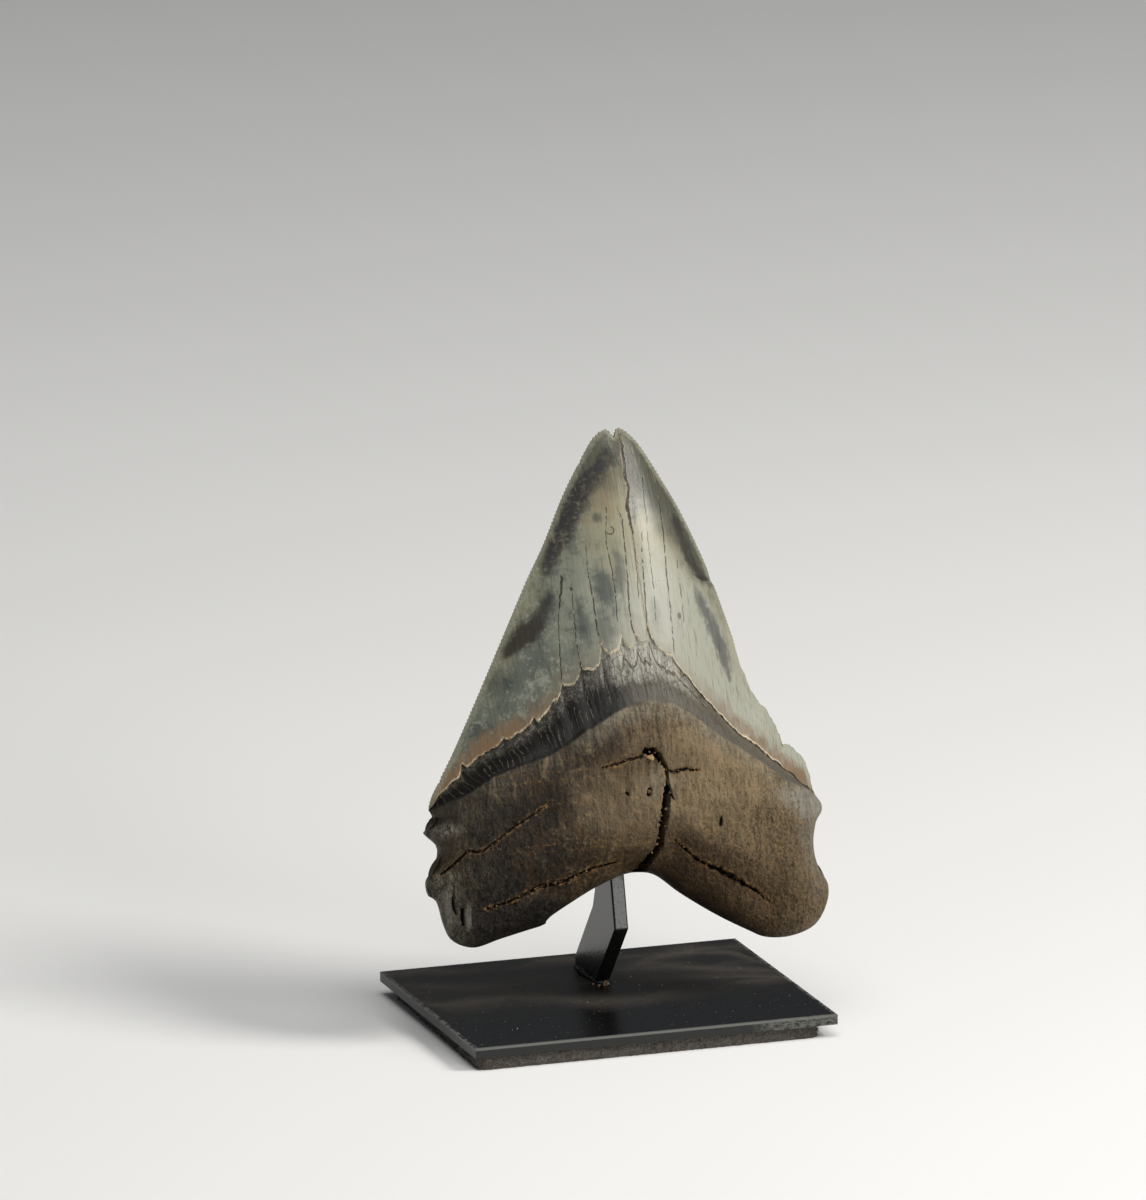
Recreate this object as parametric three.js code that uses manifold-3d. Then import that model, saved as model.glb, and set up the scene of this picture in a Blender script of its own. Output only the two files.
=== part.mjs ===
// A fossil shark tooth held tip up on a small painted steel stand.
// Millimetres, +Z up, the display face looks along -Y.
// The origin is the middle of the felt's underside, where the stand rests on a shelf.
import * as THREE from 'three';
import { mergeVertices } from 'three/addons/utils/BufferGeometryUtils.js';
import Module from 'manifold-3d';

const wasm = await Module();
wasm.setup();

// ---------------------------------------------------------------- driving dimensions

// Clearance between two pieces that touch, and the thinner film of glue above the felt.
const GAP = 0.3;
const GLUE_FILM = 0.2;

// The steel plate: a sheared rectangle with its edges broken all round.
const PLATE = { width: 76, depth: 60, thickness: 2, edge: 0.3 };

// The felt under it, cut by hand and a little askew. Its corners, anticlockwise from the front left.
const FELT = {
  thickness: 2.4,
  corners: [[-37.4, -29.6], [34.6, -29.2], [34.2, 26.2], [-35.9, 26]],
  cornerRadius: 2.2,
};

// The post is a flat bar on edge, seen from the side as Y and height above the plate.
const POST = {
  thickness: 3,
  x: 1.6,
  edge: 0.25,
  footFront: 7.6,
  footBack: 20.2,
  heel: 2.6,
  kinkFront: [-4, 14],
  kinkBack: [9.5, 15.8],
  waistBack: [7.9, 20.5],
  upperLength: 27,
  tipDepth: 3.4,
};

// The tooth leans back with the post's upper part. Its own frame has a to the right,
// b up along the tooth from the arch between the root lobes, and c towards the display face.
const LEAN = THREE.MathUtils.degToRad(14.5);
const TOOTH_X = 1;
const ARCH_ABOVE_KINK = 11.2;
const STAND_OFF = 1.2;

// The two cutting edges of the crown and the outline of the root, as [a, b].
const LEFT_EDGE = [[4.3, 88.6], [0.5, 85.5], [-5.5, 76.5], [-10.5, 67.2], [-15, 59.8], [-20.5, 50],
  [-27.5, 37.5], [-33.5, 27], [-38.3, 19.3], [-39.5, 16]];
const TIP_NOTCH = [6, 87];
const RIGHT_EDGE = [[35.6, 24.4], [33.4, 29.8], [31, 32.5], [28.4, 39.5], [27.4, 44], [23.5, 58],
  [19, 70], [15.5, 77.2], [11.6, 84.4], [7.3, 88.6]];
const HEEL_EDGE = [[41.2, 13.3], [41.2, 16.3], [39.8, 19.8], [37.2, 22.8], [35.5, 23]];
const ROOT_LEFT = [[-39.5, 16], [-38.9, 13.8], [-41.3, 11.6], [-39, 8.6], [-39.9, 5.1], [-42, 2.2],
  [-41.8, -0.6], [-40, -2.2], [-39, -6.8], [-37.4, -10.1], [-33.4, -11.7], [-28, -10.5], [-22.4, -9.3],
  [-18.8, -8.5], [-17.6, -7.2], [-12.8, -4.6], [-7.5, -2.1], [-1.3, 0]];
const ROOT_RIGHT = [[-1.3, 0], [3, 0.1], [6.2, -1], [10.8, -4.8], [17.8, -9.6], [24.3, -13.3],
  [28, -15], [33.2, -15.2], [38.2, -13.5], [41, -9.7], [41.7, -5.7], [39.8, -1.8], [39.1, 2.4],
  [39.9, 6.8], [41.5, 9.4], [41.2, 13.3]];

// The chevron between crown and root on the display face: where the enamel ends and where
// the root's shoulder begins. The enamel ends lower on the other face.
const ENAMEL_LINE = [[-39.5, 16], [-29.5, 25.2], [-18, 32], [-9.9, 38.5], [0.3, 45], [5.5, 46.5],
  [11, 41.6], [19.4, 31.5], [31.4, 21], [41.2, 13.3]];
const SHOULDER_LINE = [[-39.5, 14.5], [-28.7, 21.5], [-17.8, 25], [-10.1, 29], [0.3, 33.6], [6, 33.8],
  [13.5, 29.7], [25.2, 21], [37, 13.2], [41.2, 11.5]];
const NARROWEST_SLOPE = 6;
const BACK_ENAMEL_LINE = [[-39.5, 15], [-24, 22.5], [-8, 27.5], [6, 28.5], [20, 24], [41.2, 13.5]];

// Depths, all as c: the sharp edge of the crown, the middle of the root's rim and its faces.
const CROWN_EDGE = 4.5;
const TIP_CURL = 2;
const ROOT_RIM = 7.5;
const ROOT_CREST = 19.5;
const ROOT_BACK = 0.8;
const FRONT_BULGE = 0.42;
const BACK_BULGE = 0.13;

// The open crack from the foramen down to the arch, and how deep it is cut.
const CRACK = [[1, 24.6], [3, 25], [4.6, 22.6], [6.4, 20.2], [6.2, 15], [5.2, 8.6], [4.8, 4.6],
  [3.4, 1.6], [2.6, -2], [-1.6, -2], [0.4, 2.4], [2.8, 5], [2.8, 8.8], [4, 14], [4.6, 19], [2.6, 21.6],
  [0.8, 22.6]];
const CRACK_FLOOR = 12.5;

// How finely the tooth is faceted: the spacing of its rim points and the rings of each face.
const RIM_STEP = 2.9;
const STAR_CENTRE = new THREE.Vector2(1.5, 22);
const FRONT_RINGS = [0.16, 0.3, 0.42, 0.52, 0.61, 0.69, 0.76, 0.82, 0.875, 0.92, 0.955, 0.98, 0.995];
const BACK_RINGS = [0.25, 0.48, 0.66, 0.8, 0.9, 0.96, 0.99];

// The bead of epoxy that beds the root's back on the post's edge.
const BED = { width: 9, height: 13, bottom: 1.5, grip: 1.6 };

const plateTop = FELT.thickness + GLUE_FILM + PLATE.thickness;

// ---------------------------------------------------------------- helpers

const vector2 = ([x, y]) => new THREE.Vector2(x, y);
const mix = THREE.MathUtils.lerp;

// The height of a line of [a, b] points at a.
function heightAt(line, a) {
  const i = THREE.MathUtils.clamp(line.findIndex(([x]) => x > a), 1, line.length - 1);
  const [[a0, b0], [a1, b1]] = [line[i - 1], line[i]];
  return mix(b0, b1, THREE.MathUtils.clamp((a - a0) / (a1 - a0), 0, 1));
}

// A smooth curve through the points, sampled about every `step`, without its last point.
function sampled(points, step) {
  const curve = new THREE.SplineCurve(points.map(vector2));
  const count = Math.max(2, Math.round(curve.getLength() / step));
  return curve.getSpacedPoints(count).slice(0, -1);
}

// The least distance from p to a run of points.
function distanceTo(run, p) {
  let least = Infinity;
  const nearest = new THREE.Vector3();
  const point = new THREE.Vector3(p.x, p.y, 0);
  for (let i = 1; i < run.length; i++) {
    const side = new THREE.Line3(
      new THREE.Vector3(run[i - 1].x, run[i - 1].y, 0), new THREE.Vector3(run[i].x, run[i].y, 0));
    side.closestPointToPoint(point, true, nearest);
    least = Math.min(least, nearest.distanceTo(point));
  }
  return least;
}

function toManifold(geometry) {
  const bare = geometry.clone();
  bare.deleteAttribute('normal');
  bare.deleteAttribute('uv');
  const merged = mergeVertices(bare, 1e-4);
  return new wasm.Manifold(new wasm.Mesh({
    numProp: 3,
    vertProperties: new Float32Array(merged.attributes.position.array),
    triVerts: new Uint32Array(merged.index.array),
  }));
}

function fromManifold(solid) {
  const { numProp, vertProperties, triVerts } = solid.getMesh();
  const geometry = new THREE.BufferGeometry();
  const count = vertProperties.length / numProp;
  const position = new Float32Array(count * 3);
  for (let i = 0; i < count; i++) {
    position.set(vertProperties.subarray(i * numProp, i * numProp + 3), i * 3);
  }
  geometry.setAttribute('position', new THREE.BufferAttribute(position, 3));
  geometry.setIndex(Array.from(triVerts));
  geometry.computeVertexNormals();
  return geometry;
}

function named(name, geometry, material) {
  const mesh = new THREE.Mesh(geometry, new THREE.MeshStandardMaterial(material));
  mesh.name = name;
  return mesh;
}

// ---------------------------------------------------------------- the tooth

const leftEdge = sampled(LEFT_EDGE, RIM_STEP);
const rightEdge = sampled(RIGHT_EDGE, RIM_STEP);
const heelEdge = sampled(HEEL_EDGE, RIM_STEP / 1.5);
const rootRim = [...sampled(ROOT_LEFT, RIM_STEP), ...sampled(ROOT_RIGHT, RIM_STEP)];
const leftRun = [...leftEdge, vector2(LEFT_EDGE.at(-1))];
const rightRun = [...heelEdge, vector2(HEEL_EDGE.at(-1)), ...rightEdge, vector2(RIGHT_EDGE.at(-1))];
const rootRun = [...rootRim, vector2(ROOT_RIGHT.at(-1))];
const rim = [...rootRim, ...heelEdge, vector2(HEEL_EDGE.at(-1)), ...rightEdge,
  vector2(RIGHT_EDGE.at(-1)), vector2(TIP_NOTCH), ...leftEdge];

// The crown's blade: a lens between its two cutting edges.
function blade(p, bulge) {
  const left = distanceTo(leftRun, p);
  const right = distanceTo(rightRun, p);
  const width = left + right;
  return bulge * width / 2 * (4 * left * right / (width * width + 1e-9));
}

function crownEdge(p) {
  const up = Math.max(0, (p.y - 15) / 74);
  return CROWN_EDGE - TIP_CURL * up * up;
}

// The rim passes from the crown's edge to the middle of the root just below the enamel's corners.
function rimDepth(p) {
  return mix(ROOT_RIM, crownEdge(p), THREE.MathUtils.smoothstep(p.y, 9, 16.5));
}

// A quarter circle from 0 at the rim to 1 at `reach` from it.
function rounded(distance, reach) {
  const x = Math.min(1, distance / reach);
  return Math.sqrt(1 - (1 - x) * (1 - x));
}

function frontDepth(p) {
  const crown = crownEdge(p) + blade(p, FRONT_BULGE);
  const away = Math.abs(p.x - 3) / 35;
  const low = p.y - 24;
  const face = ROOT_CREST - 4 * away ** 1.6 - 0.0035 * low * low;
  const root = mix(rimDepth(p), face, rounded(distanceTo(rootRun, p), 8.5));
  const enamel = heightAt(ENAMEL_LINE, p.x);
  const shoulder = Math.min(heightAt(SHOULDER_LINE, p.x), enamel - NARROWEST_SLOPE);
  return mix(root, crown, THREE.MathUtils.smoothstep(p.y, shoulder, enamel));
}

function backDepth(p) {
  const crown = crownEdge(p) - blade(p, BACK_BULGE);
  const root = mix(rimDepth(p), ROOT_BACK, rounded(distanceTo(rootRun, p), 6));
  const line = heightAt(BACK_ENAMEL_LINE, p.x);
  return mix(root, crown, THREE.MathUtils.smoothstep(p.y, line - 6, line + 4));
}

// Rings from the rim inwards on one face, then the point in the middle.
function faceRings(fractions, depth) {
  return fractions.toReversed().map((t) => rim.map((p) => {
    const q = STAR_CENTRE.clone().lerp(p, t);
    return new THREE.Vector3(q.x, q.y, depth(q));
  }));
}

function toothBody() {
  const count = rim.length;
  const position = [];
  const index = [];
  const addRing = (ring) => ring.forEach((p) => position.push(p.x, p.y, p.z));
  addRing(rim.map((p) => new THREE.Vector3(p.x, p.y, rimDepth(p))));
  for (const [fractions, depth, front] of [
    [FRONT_RINGS, frontDepth, true], [BACK_RINGS, backDepth, false]]) {
    let outer = 0;
    const face = (i, j, k) => index.push(...(front ? [i, j, k] : [i, k, j]));
    for (const ring of faceRings(fractions, depth)) {
      const inner = position.length / 3;
      addRing(ring);
      for (let i = 0; i < count; i++) {
        const j = (i + 1) % count;
        face(inner + i, outer + i, outer + j);
        face(inner + i, outer + j, inner + j);
      }
      outer = inner;
    }
    const middle = position.length / 3;
    position.push(STAR_CENTRE.x, STAR_CENTRE.y, depth(STAR_CENTRE));
    for (let i = 0; i < count; i++) face(middle, outer + i, outer + (i + 1) % count);
  }
  const geometry = new THREE.BufferGeometry();
  geometry.setAttribute('position', new THREE.Float32BufferAttribute(position, 3));
  geometry.setIndex(index);
  return geometry;
}

function makeTooth() {
  const crack = new THREE.ExtrudeGeometry(new THREE.Shape(CRACK.map(vector2)), {
    depth: ROOT_CREST, bevelEnabled: false,
  });
  crack.translate(0, 0, CRACK_FLOOR);
  const solid = toManifold(toothBody()).subtract(toManifold(crack));
  return named('tooth', fromManifold(solid), { color: 0x8a8272, roughness: 0.5, metalness: 0 });
}

// ---------------------------------------------------------------- the stand

function makeFelt() {
  const corners = FELT.corners.map(vector2);
  const shape = new THREE.Shape();
  corners.forEach((corner, i) => {
    const before = corners.at(i - 1).clone().sub(corner).setLength(FELT.cornerRadius).add(corner);
    const after = corners[(i + 1) % 4].clone().sub(corner).setLength(FELT.cornerRadius).add(corner);
    if (i === 0) shape.moveTo(before.x, before.y);
    else shape.lineTo(before.x, before.y);
    shape.quadraticCurveTo(corner.x, corner.y, after.x, after.y);
  });
  const geometry = new THREE.ExtrudeGeometry(shape, {
    depth: FELT.thickness, bevelEnabled: false, curveSegments: 5,
  });
  return named('felt_pad', geometry, { color: 0x4a443c, roughness: 1, metalness: 0 });
}

function makePlate() {
  const x = PLATE.width / 2 - PLATE.edge;
  const y = PLATE.depth / 2 - PLATE.edge;
  const shape = new THREE.Shape([[-x, -y], [x, -y], [x, y], [-x, y]].map(vector2));
  const geometry = new THREE.ExtrudeGeometry(shape, {
    depth: PLATE.thickness - 2 * PLATE.edge,
    bevelThickness: PLATE.edge, bevelSize: PLATE.edge, bevelSegments: 1,
  });
  geometry.translate(0, 0, plateTop - PLATE.thickness + PLATE.edge);
  return named('base_plate', geometry, { color: 0x0b0b0c, roughness: 0.3, metalness: 0 });
}

// The post's side view. Its upper part leans back with the tooth and narrows to the top.
function postProfile() {
  const [y, z] = POST.kinkFront;
  const topFront = [y + POST.upperLength * Math.sin(LEAN), z + POST.upperLength * Math.cos(LEAN)];
  const topBack = [topFront[0] + POST.tipDepth, topFront[1] - 0.6];
  return [[POST.footFront, GAP], [POST.footBack, GAP], [POST.footBack, POST.heel], POST.kinkBack,
    POST.waistBack, topBack, topFront, POST.kinkFront].map(vector2);
}

// A side view drawn as Y and height, given thickness along X.
function acrossX(shape, thickness, edge, centre) {
  const geometry = new THREE.ExtrudeGeometry(shape, {
    depth: thickness - 2 * edge,
    bevelThickness: edge, bevelSize: edge, bevelOffset: -edge, bevelSegments: 1,
    bevelEnabled: edge > 0,
  });
  geometry.applyMatrix4(new THREE.Matrix4().makeBasis(
    new THREE.Vector3(0, 1, 0), new THREE.Vector3(0, 0, 1), new THREE.Vector3(1, 0, 0)));
  geometry.translate(centre - thickness / 2 + edge, 0, plateTop);
  return geometry;
}

function makePost() {
  const shape = new THREE.Shape(postProfile());
  const geometry = acrossX(shape, POST.thickness, POST.edge, POST.x);
  return named('post', geometry, { color: 0x0d0d0e, roughness: 0.35, metalness: 0 });
}

// ---------------------------------------------------------------- placing the tooth

// The tooth's frame at the arch, on the plane that its root's back lies along.
function toothFrame() {
  const [y, z] = POST.kinkFront;
  const frame = new THREE.Matrix4().makeRotationX(Math.PI / 2 - LEAN);
  frame.setPosition(
    TOOTH_X,
    y - STAND_OFF * Math.cos(LEAN) + ARCH_ABOVE_KINK * Math.sin(LEAN),
    plateTop + z + STAND_OFF * Math.sin(LEAN) + ARCH_ABOVE_KINK * Math.cos(LEAN));
  return frame;
}

// The epoxy is a low oval mound on the root's back, with the post's edge sunk into it.
function makeBed() {
  const thickness = ROOT_BACK - GAP + STAND_OFF + BED.grip;
  const bevel = thickness * 0.45;
  const oval = new THREE.Shape();
  oval.absellipse(POST.x - TOOTH_X, BED.bottom + BED.height / 2, BED.width / 2, BED.height / 2, 0, 2 * Math.PI);
  const mound = new THREE.ExtrudeGeometry(oval, {
    depth: thickness - 2 * bevel, bevelThickness: bevel, bevelSize: bevel, bevelOffset: -bevel,
    bevelSegments: 2, curveSegments: 10,
  });
  mound.translate(0, 0, bevel - STAND_OFF - BED.grip);
  mound.applyMatrix4(toothFrame());
  const room = new THREE.Shape(postProfile());
  const socket = acrossX(room, POST.thickness + 2 * GAP, 0, POST.x);
  socket.translate(0, -GAP, 0);
  const solid = toManifold(mound).subtract(toManifold(socket));
  return named('epoxy_bed', fromManifold(solid), { color: 0x1b1917, roughness: 0.45, metalness: 0 });
}

const tooth = makeTooth();
tooth.applyMatrix4(toothFrame());

const group = new THREE.Group();
group.add(tooth, makeBed(), makePost(), makePlate(), makeFelt());

export default group;
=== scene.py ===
"""Looks of a fossil megalodon tooth and of the small painted stand that holds it.

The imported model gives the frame. Every piece is made in metres around it, and the tooth's own
surface is worked out in millimetres in the tooth's frame: a to the right, b up along the tooth
from the arch between its root lobes, c out of the display face.
"""

from __future__ import annotations

import logging
import math
from contextlib import contextmanager
from dataclasses import dataclass, field
from enum import Enum
from typing import Iterator, Sequence, Union

import bpy
import numpy as np
from mathutils import Matrix, Vector


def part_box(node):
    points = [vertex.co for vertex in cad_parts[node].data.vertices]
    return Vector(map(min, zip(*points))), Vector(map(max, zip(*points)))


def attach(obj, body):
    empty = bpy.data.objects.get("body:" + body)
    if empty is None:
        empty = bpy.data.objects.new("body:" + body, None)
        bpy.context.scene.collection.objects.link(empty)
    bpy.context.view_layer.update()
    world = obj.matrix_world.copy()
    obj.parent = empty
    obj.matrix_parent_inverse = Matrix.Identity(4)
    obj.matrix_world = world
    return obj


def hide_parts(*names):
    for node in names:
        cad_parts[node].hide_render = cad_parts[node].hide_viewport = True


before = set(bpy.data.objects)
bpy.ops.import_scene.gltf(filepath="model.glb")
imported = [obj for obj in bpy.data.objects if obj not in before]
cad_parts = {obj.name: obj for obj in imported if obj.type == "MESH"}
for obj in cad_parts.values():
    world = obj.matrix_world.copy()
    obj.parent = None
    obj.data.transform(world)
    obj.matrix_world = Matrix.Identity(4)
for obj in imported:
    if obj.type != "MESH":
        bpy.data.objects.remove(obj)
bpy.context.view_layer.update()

LOG = logging.getLogger("tooth")
MM = 0.001
BODY = "root"

Point = tuple[float, float]
Colour = tuple[float, float, float]
Course = Sequence[tuple[float, float, float]]


class Slot(Enum):
    """The record's material slots."""

    TOOTH = "tooth"
    EPOXY = "epoxy"
    PAINTED_STEEL = "painted_steel"
    FELT = "felt"


# ---- shader expressions


class Value:
    """One output of a shader tree, used in expressions as a number is."""

    def __init__(self, shader: "Shader", socket: bpy.types.NodeSocket) -> None:
        """Keeps the tree and the output socket."""
        self.shader = shader
        self.socket = socket

    def __add__(self, other: "Term") -> "Value":
        """self + other."""
        return self.shader.maths("ADD", self, other)

    __radd__ = __add__

    def __sub__(self, other: "Term") -> "Value":
        """self - other."""
        return self.shader.maths("SUBTRACT", self, other)

    def __rsub__(self, other: "Term") -> "Value":
        """other - self."""
        return self.shader.maths("SUBTRACT", other, self)

    def __mul__(self, other: "Term") -> "Value":
        """self * other."""
        return self.shader.maths("MULTIPLY", self, other)

    __rmul__ = __mul__

    def __truediv__(self, other: "Term") -> "Value":
        """self / other."""
        return self.shader.maths("DIVIDE", self, other)

    def __rtruediv__(self, other: "Term") -> "Value":
        """other / self."""
        return self.shader.maths("DIVIDE", other, self)

    def __pow__(self, other: "Term") -> "Value":
        """self to the power other."""
        return self.shader.maths("POWER", self, other)

    def __abs__(self) -> "Value":
        """The size of self."""
        return self.shader.maths("ABSOLUTE", self)

    def at_least(self, other: "Term") -> "Value":
        """The larger of the two."""
        return self.shader.maths("MAXIMUM", self, other)

    def at_most(self, other: "Term") -> "Value":
        """The smaller of the two."""
        return self.shader.maths("MINIMUM", self, other)


Term = Union[Value, float]


class Shader:
    """A material and the nodes that dress it."""

    def __init__(self, name: str) -> None:
        """Starts an empty node tree.

        Args:
            name: The material's name.
        """
        self.material = bpy.data.materials.new(name)
        self.material.use_nodes = True
        self.tree = self.material.node_tree
        self.tree.nodes.clear()

    def add(
        self,
        kind: str,
        settings: dict | None = None,
        inputs: dict | None = None,
        output: int | str = 0,
    ) -> Value:
        """Adds any node.

        Args:
            kind: The node's type without its ShaderNode prefix.
            settings: Attributes set before its sockets; "points" fills a float curve.
            inputs: Socket name or index to a number, a colour, a vector or a Value.
            output: Which output to hand back.

        Returns:
            The chosen output.
        """
        node = self.tree.nodes.new("ShaderNode" + kind)
        for name, setting in (settings or {}).items():
            if name == "points":
                self._fill_curve(node.mapping, setting)
            else:
                setattr(node, name, setting)
        for name, value in (inputs or {}).items():
            socket = node.inputs[name]
            if isinstance(value, Value):
                self.tree.links.new(value.socket, socket)
            elif isinstance(value, tuple) and len(value) == 3 and socket.type == "RGBA":
                socket.default_value = (*value, 1.0)
            else:
                socket.default_value = value
        return Value(self, node.outputs[output])

    @staticmethod
    def _fill_curve(mapping: bpy.types.CurveMapping, points: Sequence[Point]) -> None:
        """Gives a float curve its points, joined by straight lines.

        Args:
            mapping: The curve node's mapping.
            points: The curve's points, from left to right.
        """
        curve = mapping.curves[0]
        while len(curve.points) > 2:
            curve.points.remove(curve.points[1])
        curve.points[0].location = points[0]
        curve.points[1].location = points[-1]
        for x, y in points[1:-1]:
            curve.points.new(x, y)
        for point in curve.points:
            point.handle_type = "VECTOR"
        mapping.update()

    def maths(self, operation: str, *terms: Term) -> Value:
        """One Math node on one to three terms."""
        return self.add("Math", {"operation": operation}, dict(enumerate(terms)))

    def step(self, value: Term, low: float, high: float) -> Value:
        """A smooth step from 0 at low to 1 at high; high may be the lower of the two.

        Args:
            value: The value that is compared.
            low: Where the step is 0.
            high: Where it is 1.

        Returns:
            The step's height.
        """
        settings = {"interpolation_type": "SMOOTHSTEP"}
        if low < high:
            inputs = {"Value": value, "From Min": low, "From Max": high}
            return self.add("MapRange", settings, inputs)
        inputs = {"Value": value, "From Min": high, "From Max": low, "To Min": 1.0, "To Max": 0.0}
        return self.add("MapRange", settings, inputs)

    def mix(self, factor: Term, first: "Value | Colour", second: "Value | Colour",
            blend: str = "MIX") -> Value:
        """Mixes two colours."""
        return self.add(
            "Mix", {"data_type": "RGBA", "blend_type": blend}, {0: factor, 6: first, 7: second}, 2)

    def noise(self, where: Value, scale: float, detail: float = 2.0, rough: float = 0.5,
              distortion: float = 0.0) -> Value:
        """A noise between 0 and 1 about 0.5."""
        return self.add("TexNoise", {}, {
            "Vector": where, "Scale": scale, "Detail": detail, "Roughness": rough,
            "Distortion": distortion})

    def voronoi(self, where: Value, scale: float, feature: str = "F1") -> Value:
        """The distance to a cell's middle, or to its border."""
        return self.add("TexVoronoi", {"feature": feature}, {"Vector": where, "Scale": scale}, "Distance")

    def part(self, where: Value, axis: int) -> Value:
        """One coordinate of a vector, 0 for x to 2 for z."""
        return self.add("SeparateXYZ", {}, {0: where}, axis)

    def scaled(self, where: Value, x: float, y: float, z: float) -> Value:
        """A vector stretched along each axis."""
        return self.add("VectorMath", {"operation": "MULTIPLY"}, {0: where, 1: (x, y, z)})

    def attribute(self, name: str) -> Value:
        """A number stored on the piece's mesh."""
        return self.add("Attribute", {"attribute_name": name}, {}, "Fac")

    def curve(self, value: Value, points: Sequence[Point]) -> Value:
        """A line of (input, output) points as a function of a value.

        Args:
            value: The input.
            points: At least two points with rising inputs.

        Returns:
            The output, held level beyond the ends.
        """
        xs, ys = zip(*points)
        low, high = min(ys), max(ys)
        span = (high - low) or 1.0
        unit = [((x - xs[0]) / (xs[-1] - xs[0]), (y - low) / span) for x, y in points]
        along = self.add("MapRange", {}, {"Value": value, "From Min": xs[0], "From Max": xs[-1]})
        return self.add("FloatCurve", {"points": unit}, {"Value": along}) * span + low

    def gap(self, along: Value, across: Value, course: Course) -> Value:
        """How far a place lies outside a drawn line, whose course is (along, across, width).

        Args:
            along: The place along the line's axis.
            across: The place across it.
            course: The line's points and widths.

        Returns:
            The distance past the line's edge, negative inside it.
        """
        middle = self.curve(along, [(u, v) for u, v, _ in course])
        width = self.curve(along, [(u, w) for u, _, w in course])
        return abs(across - middle) - width * 0.5

    def trace(self, along: Value, across: Value, course: Course, ragged: Term = 0.0,
              soft: float = 0.09) -> Value:
        """A drawn line with soft edges, its sides pushed out and in by a noise."""
        return self.step(self.gap(along, across, course) + ragged, soft, -soft)

    def bump(self, height: Value, distance: float, strength: float = 1.0) -> Value:
        """A bump from a height; its distance is in metres."""
        return self.add("Bump", {}, {"Height": height, "Distance": distance, "Strength": strength})

    def finish(self, plain: dict, **varying: Value) -> bpy.types.Material:
        """Ends the tree in one Principled shader.

        Args:
            plain: Values that are the same all over.
            varying: Base_Color, Roughness, Normal and so on, with _ for a space.

        Returns:
            The material.
        """
        inputs = dict(plain)
        inputs.update({name.replace("_", " "): value for name, value in varying.items()})
        surface = self.add("BsdfPrincipled", {}, inputs)
        output = self.tree.nodes.new("ShaderNodeOutputMaterial")
        self.tree.links.new(surface.socket, output.inputs["Surface"])
        return self.material


# ---- lines and noise


class Roughness2D:
    """Smooth seeded noise over a plane, from -1 to 1."""

    SIZE = 256

    def __init__(self, seed: int) -> None:
        """Fills the lattice.

        Args:
            seed: Starts the random draws.
        """
        self.lattice = np.random.default_rng(seed).uniform(-1, 1, (self.SIZE, self.SIZE))

    def at(self, x: np.ndarray, y: np.ndarray) -> np.ndarray:
        """The noise at x, y, whose lattice has a spacing of 1.

        Args:
            x: Places along the first axis.
            y: Places along the second.

        Returns:
            One height for each place.
        """
        i, j = np.floor(x).astype(int), np.floor(y).astype(int)
        u, v = x - i, y - j
        u, v = u * u * (3 - 2 * u), v * v * (3 - 2 * v)
        i, j = i % self.SIZE, j % self.SIZE
        right, above = (i + 1) % self.SIZE, (j + 1) % self.SIZE
        low = self.lattice[i, j] * (1 - u) + self.lattice[right, j] * u
        high = self.lattice[i, above] * (1 - u) + self.lattice[right, above] * u
        return low * (1 - v) + high * v

    def layers(self, x: np.ndarray, y: np.ndarray, count: int) -> np.ndarray:
        """Several sizes of the noise added up, each half the last in size and height.

        Args:
            x: Places along the first axis.
            y: Places along the second.
            count: How many sizes are added.

        Returns:
            One height for each place.
        """
        total = np.zeros_like(x)
        for k in range(count):
            total += self.at(x * 2**k + 17.3 * k, y * 2**k - 9.1 * k) / 2**k
        return total


def smooth_step(value: np.ndarray, low: np.ndarray | float, high: np.ndarray | float) -> np.ndarray:
    """A smooth step from 0 at low to 1 at high."""
    t = np.clip((value - low) / (high - low), 0, 1)
    return t * t * (3 - 2 * t)


def smooth_line(points: Sequence[Point], step: float) -> np.ndarray:
    """A smooth curve through points, evenly sampled.

    Args:
        points: The points that it passes through.
        step: The spacing wanted.

    Returns:
        The samples, ends included, one row each.
    """
    p = np.array([points[0], *points, points[-1]], float)
    t = np.linspace(0, 1, 40, endpoint=False)[:, None]
    runs = []
    for before, start, end, after in zip(p, p[1:], p[2:], p[3:]):
        go, come = (end - before) / 2, (after - start) / 2
        runs.append((2 * start - 2 * end + go + come) * t**3
                    + (3 * end - 3 * start - 2 * go - come) * t**2 + go * t + start)
    dense = np.vstack([*runs, p[-1:]])
    along = np.concatenate([[0], np.cumsum(np.hypot(*np.diff(dense, axis=0).T))])
    count = max(2, round(along[-1] / step) + 1)
    wanted = np.linspace(0, along[-1], count)
    return np.column_stack([np.interp(wanted, along, dense[:, k]) for k in (0, 1)])


def nearest_on(line: np.ndarray, where: np.ndarray) -> tuple[np.ndarray, np.ndarray]:
    """How near a broken line passes to each point.

    Args:
        line: Its corners, one row each.
        where: The points, one row each.

    Returns:
        The distances, and how far along the line, in corners, the nearest place is.
    """
    start, side = line[:-1], np.diff(line, axis=0)
    length2 = np.maximum((side**2).sum(1), 1e-12)
    best = np.empty(len(where))
    along = np.empty(len(where))
    for first in range(0, len(where), 20000):
        part = slice(first, first + 20000)
        away = where[part, None, :] - start[None]
        t = np.clip((away * side).sum(2) / length2, 0, 1)
        gap = ((away - t[..., None] * side) ** 2).sum(2)
        k = gap.argmin(1)
        rows = np.arange(len(k))
        best[part] = np.sqrt(gap[rows, k])
        along[part] = k + t[rows, k]
    return best, along


# ---- the tooth's shape


@dataclass(frozen=True)
class Crack:
    """An open crack or pit: corners as (a, b, width) along its middle, and how deep it goes."""

    course: Course
    depth: float
    ragged: float = 0.25


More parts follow.
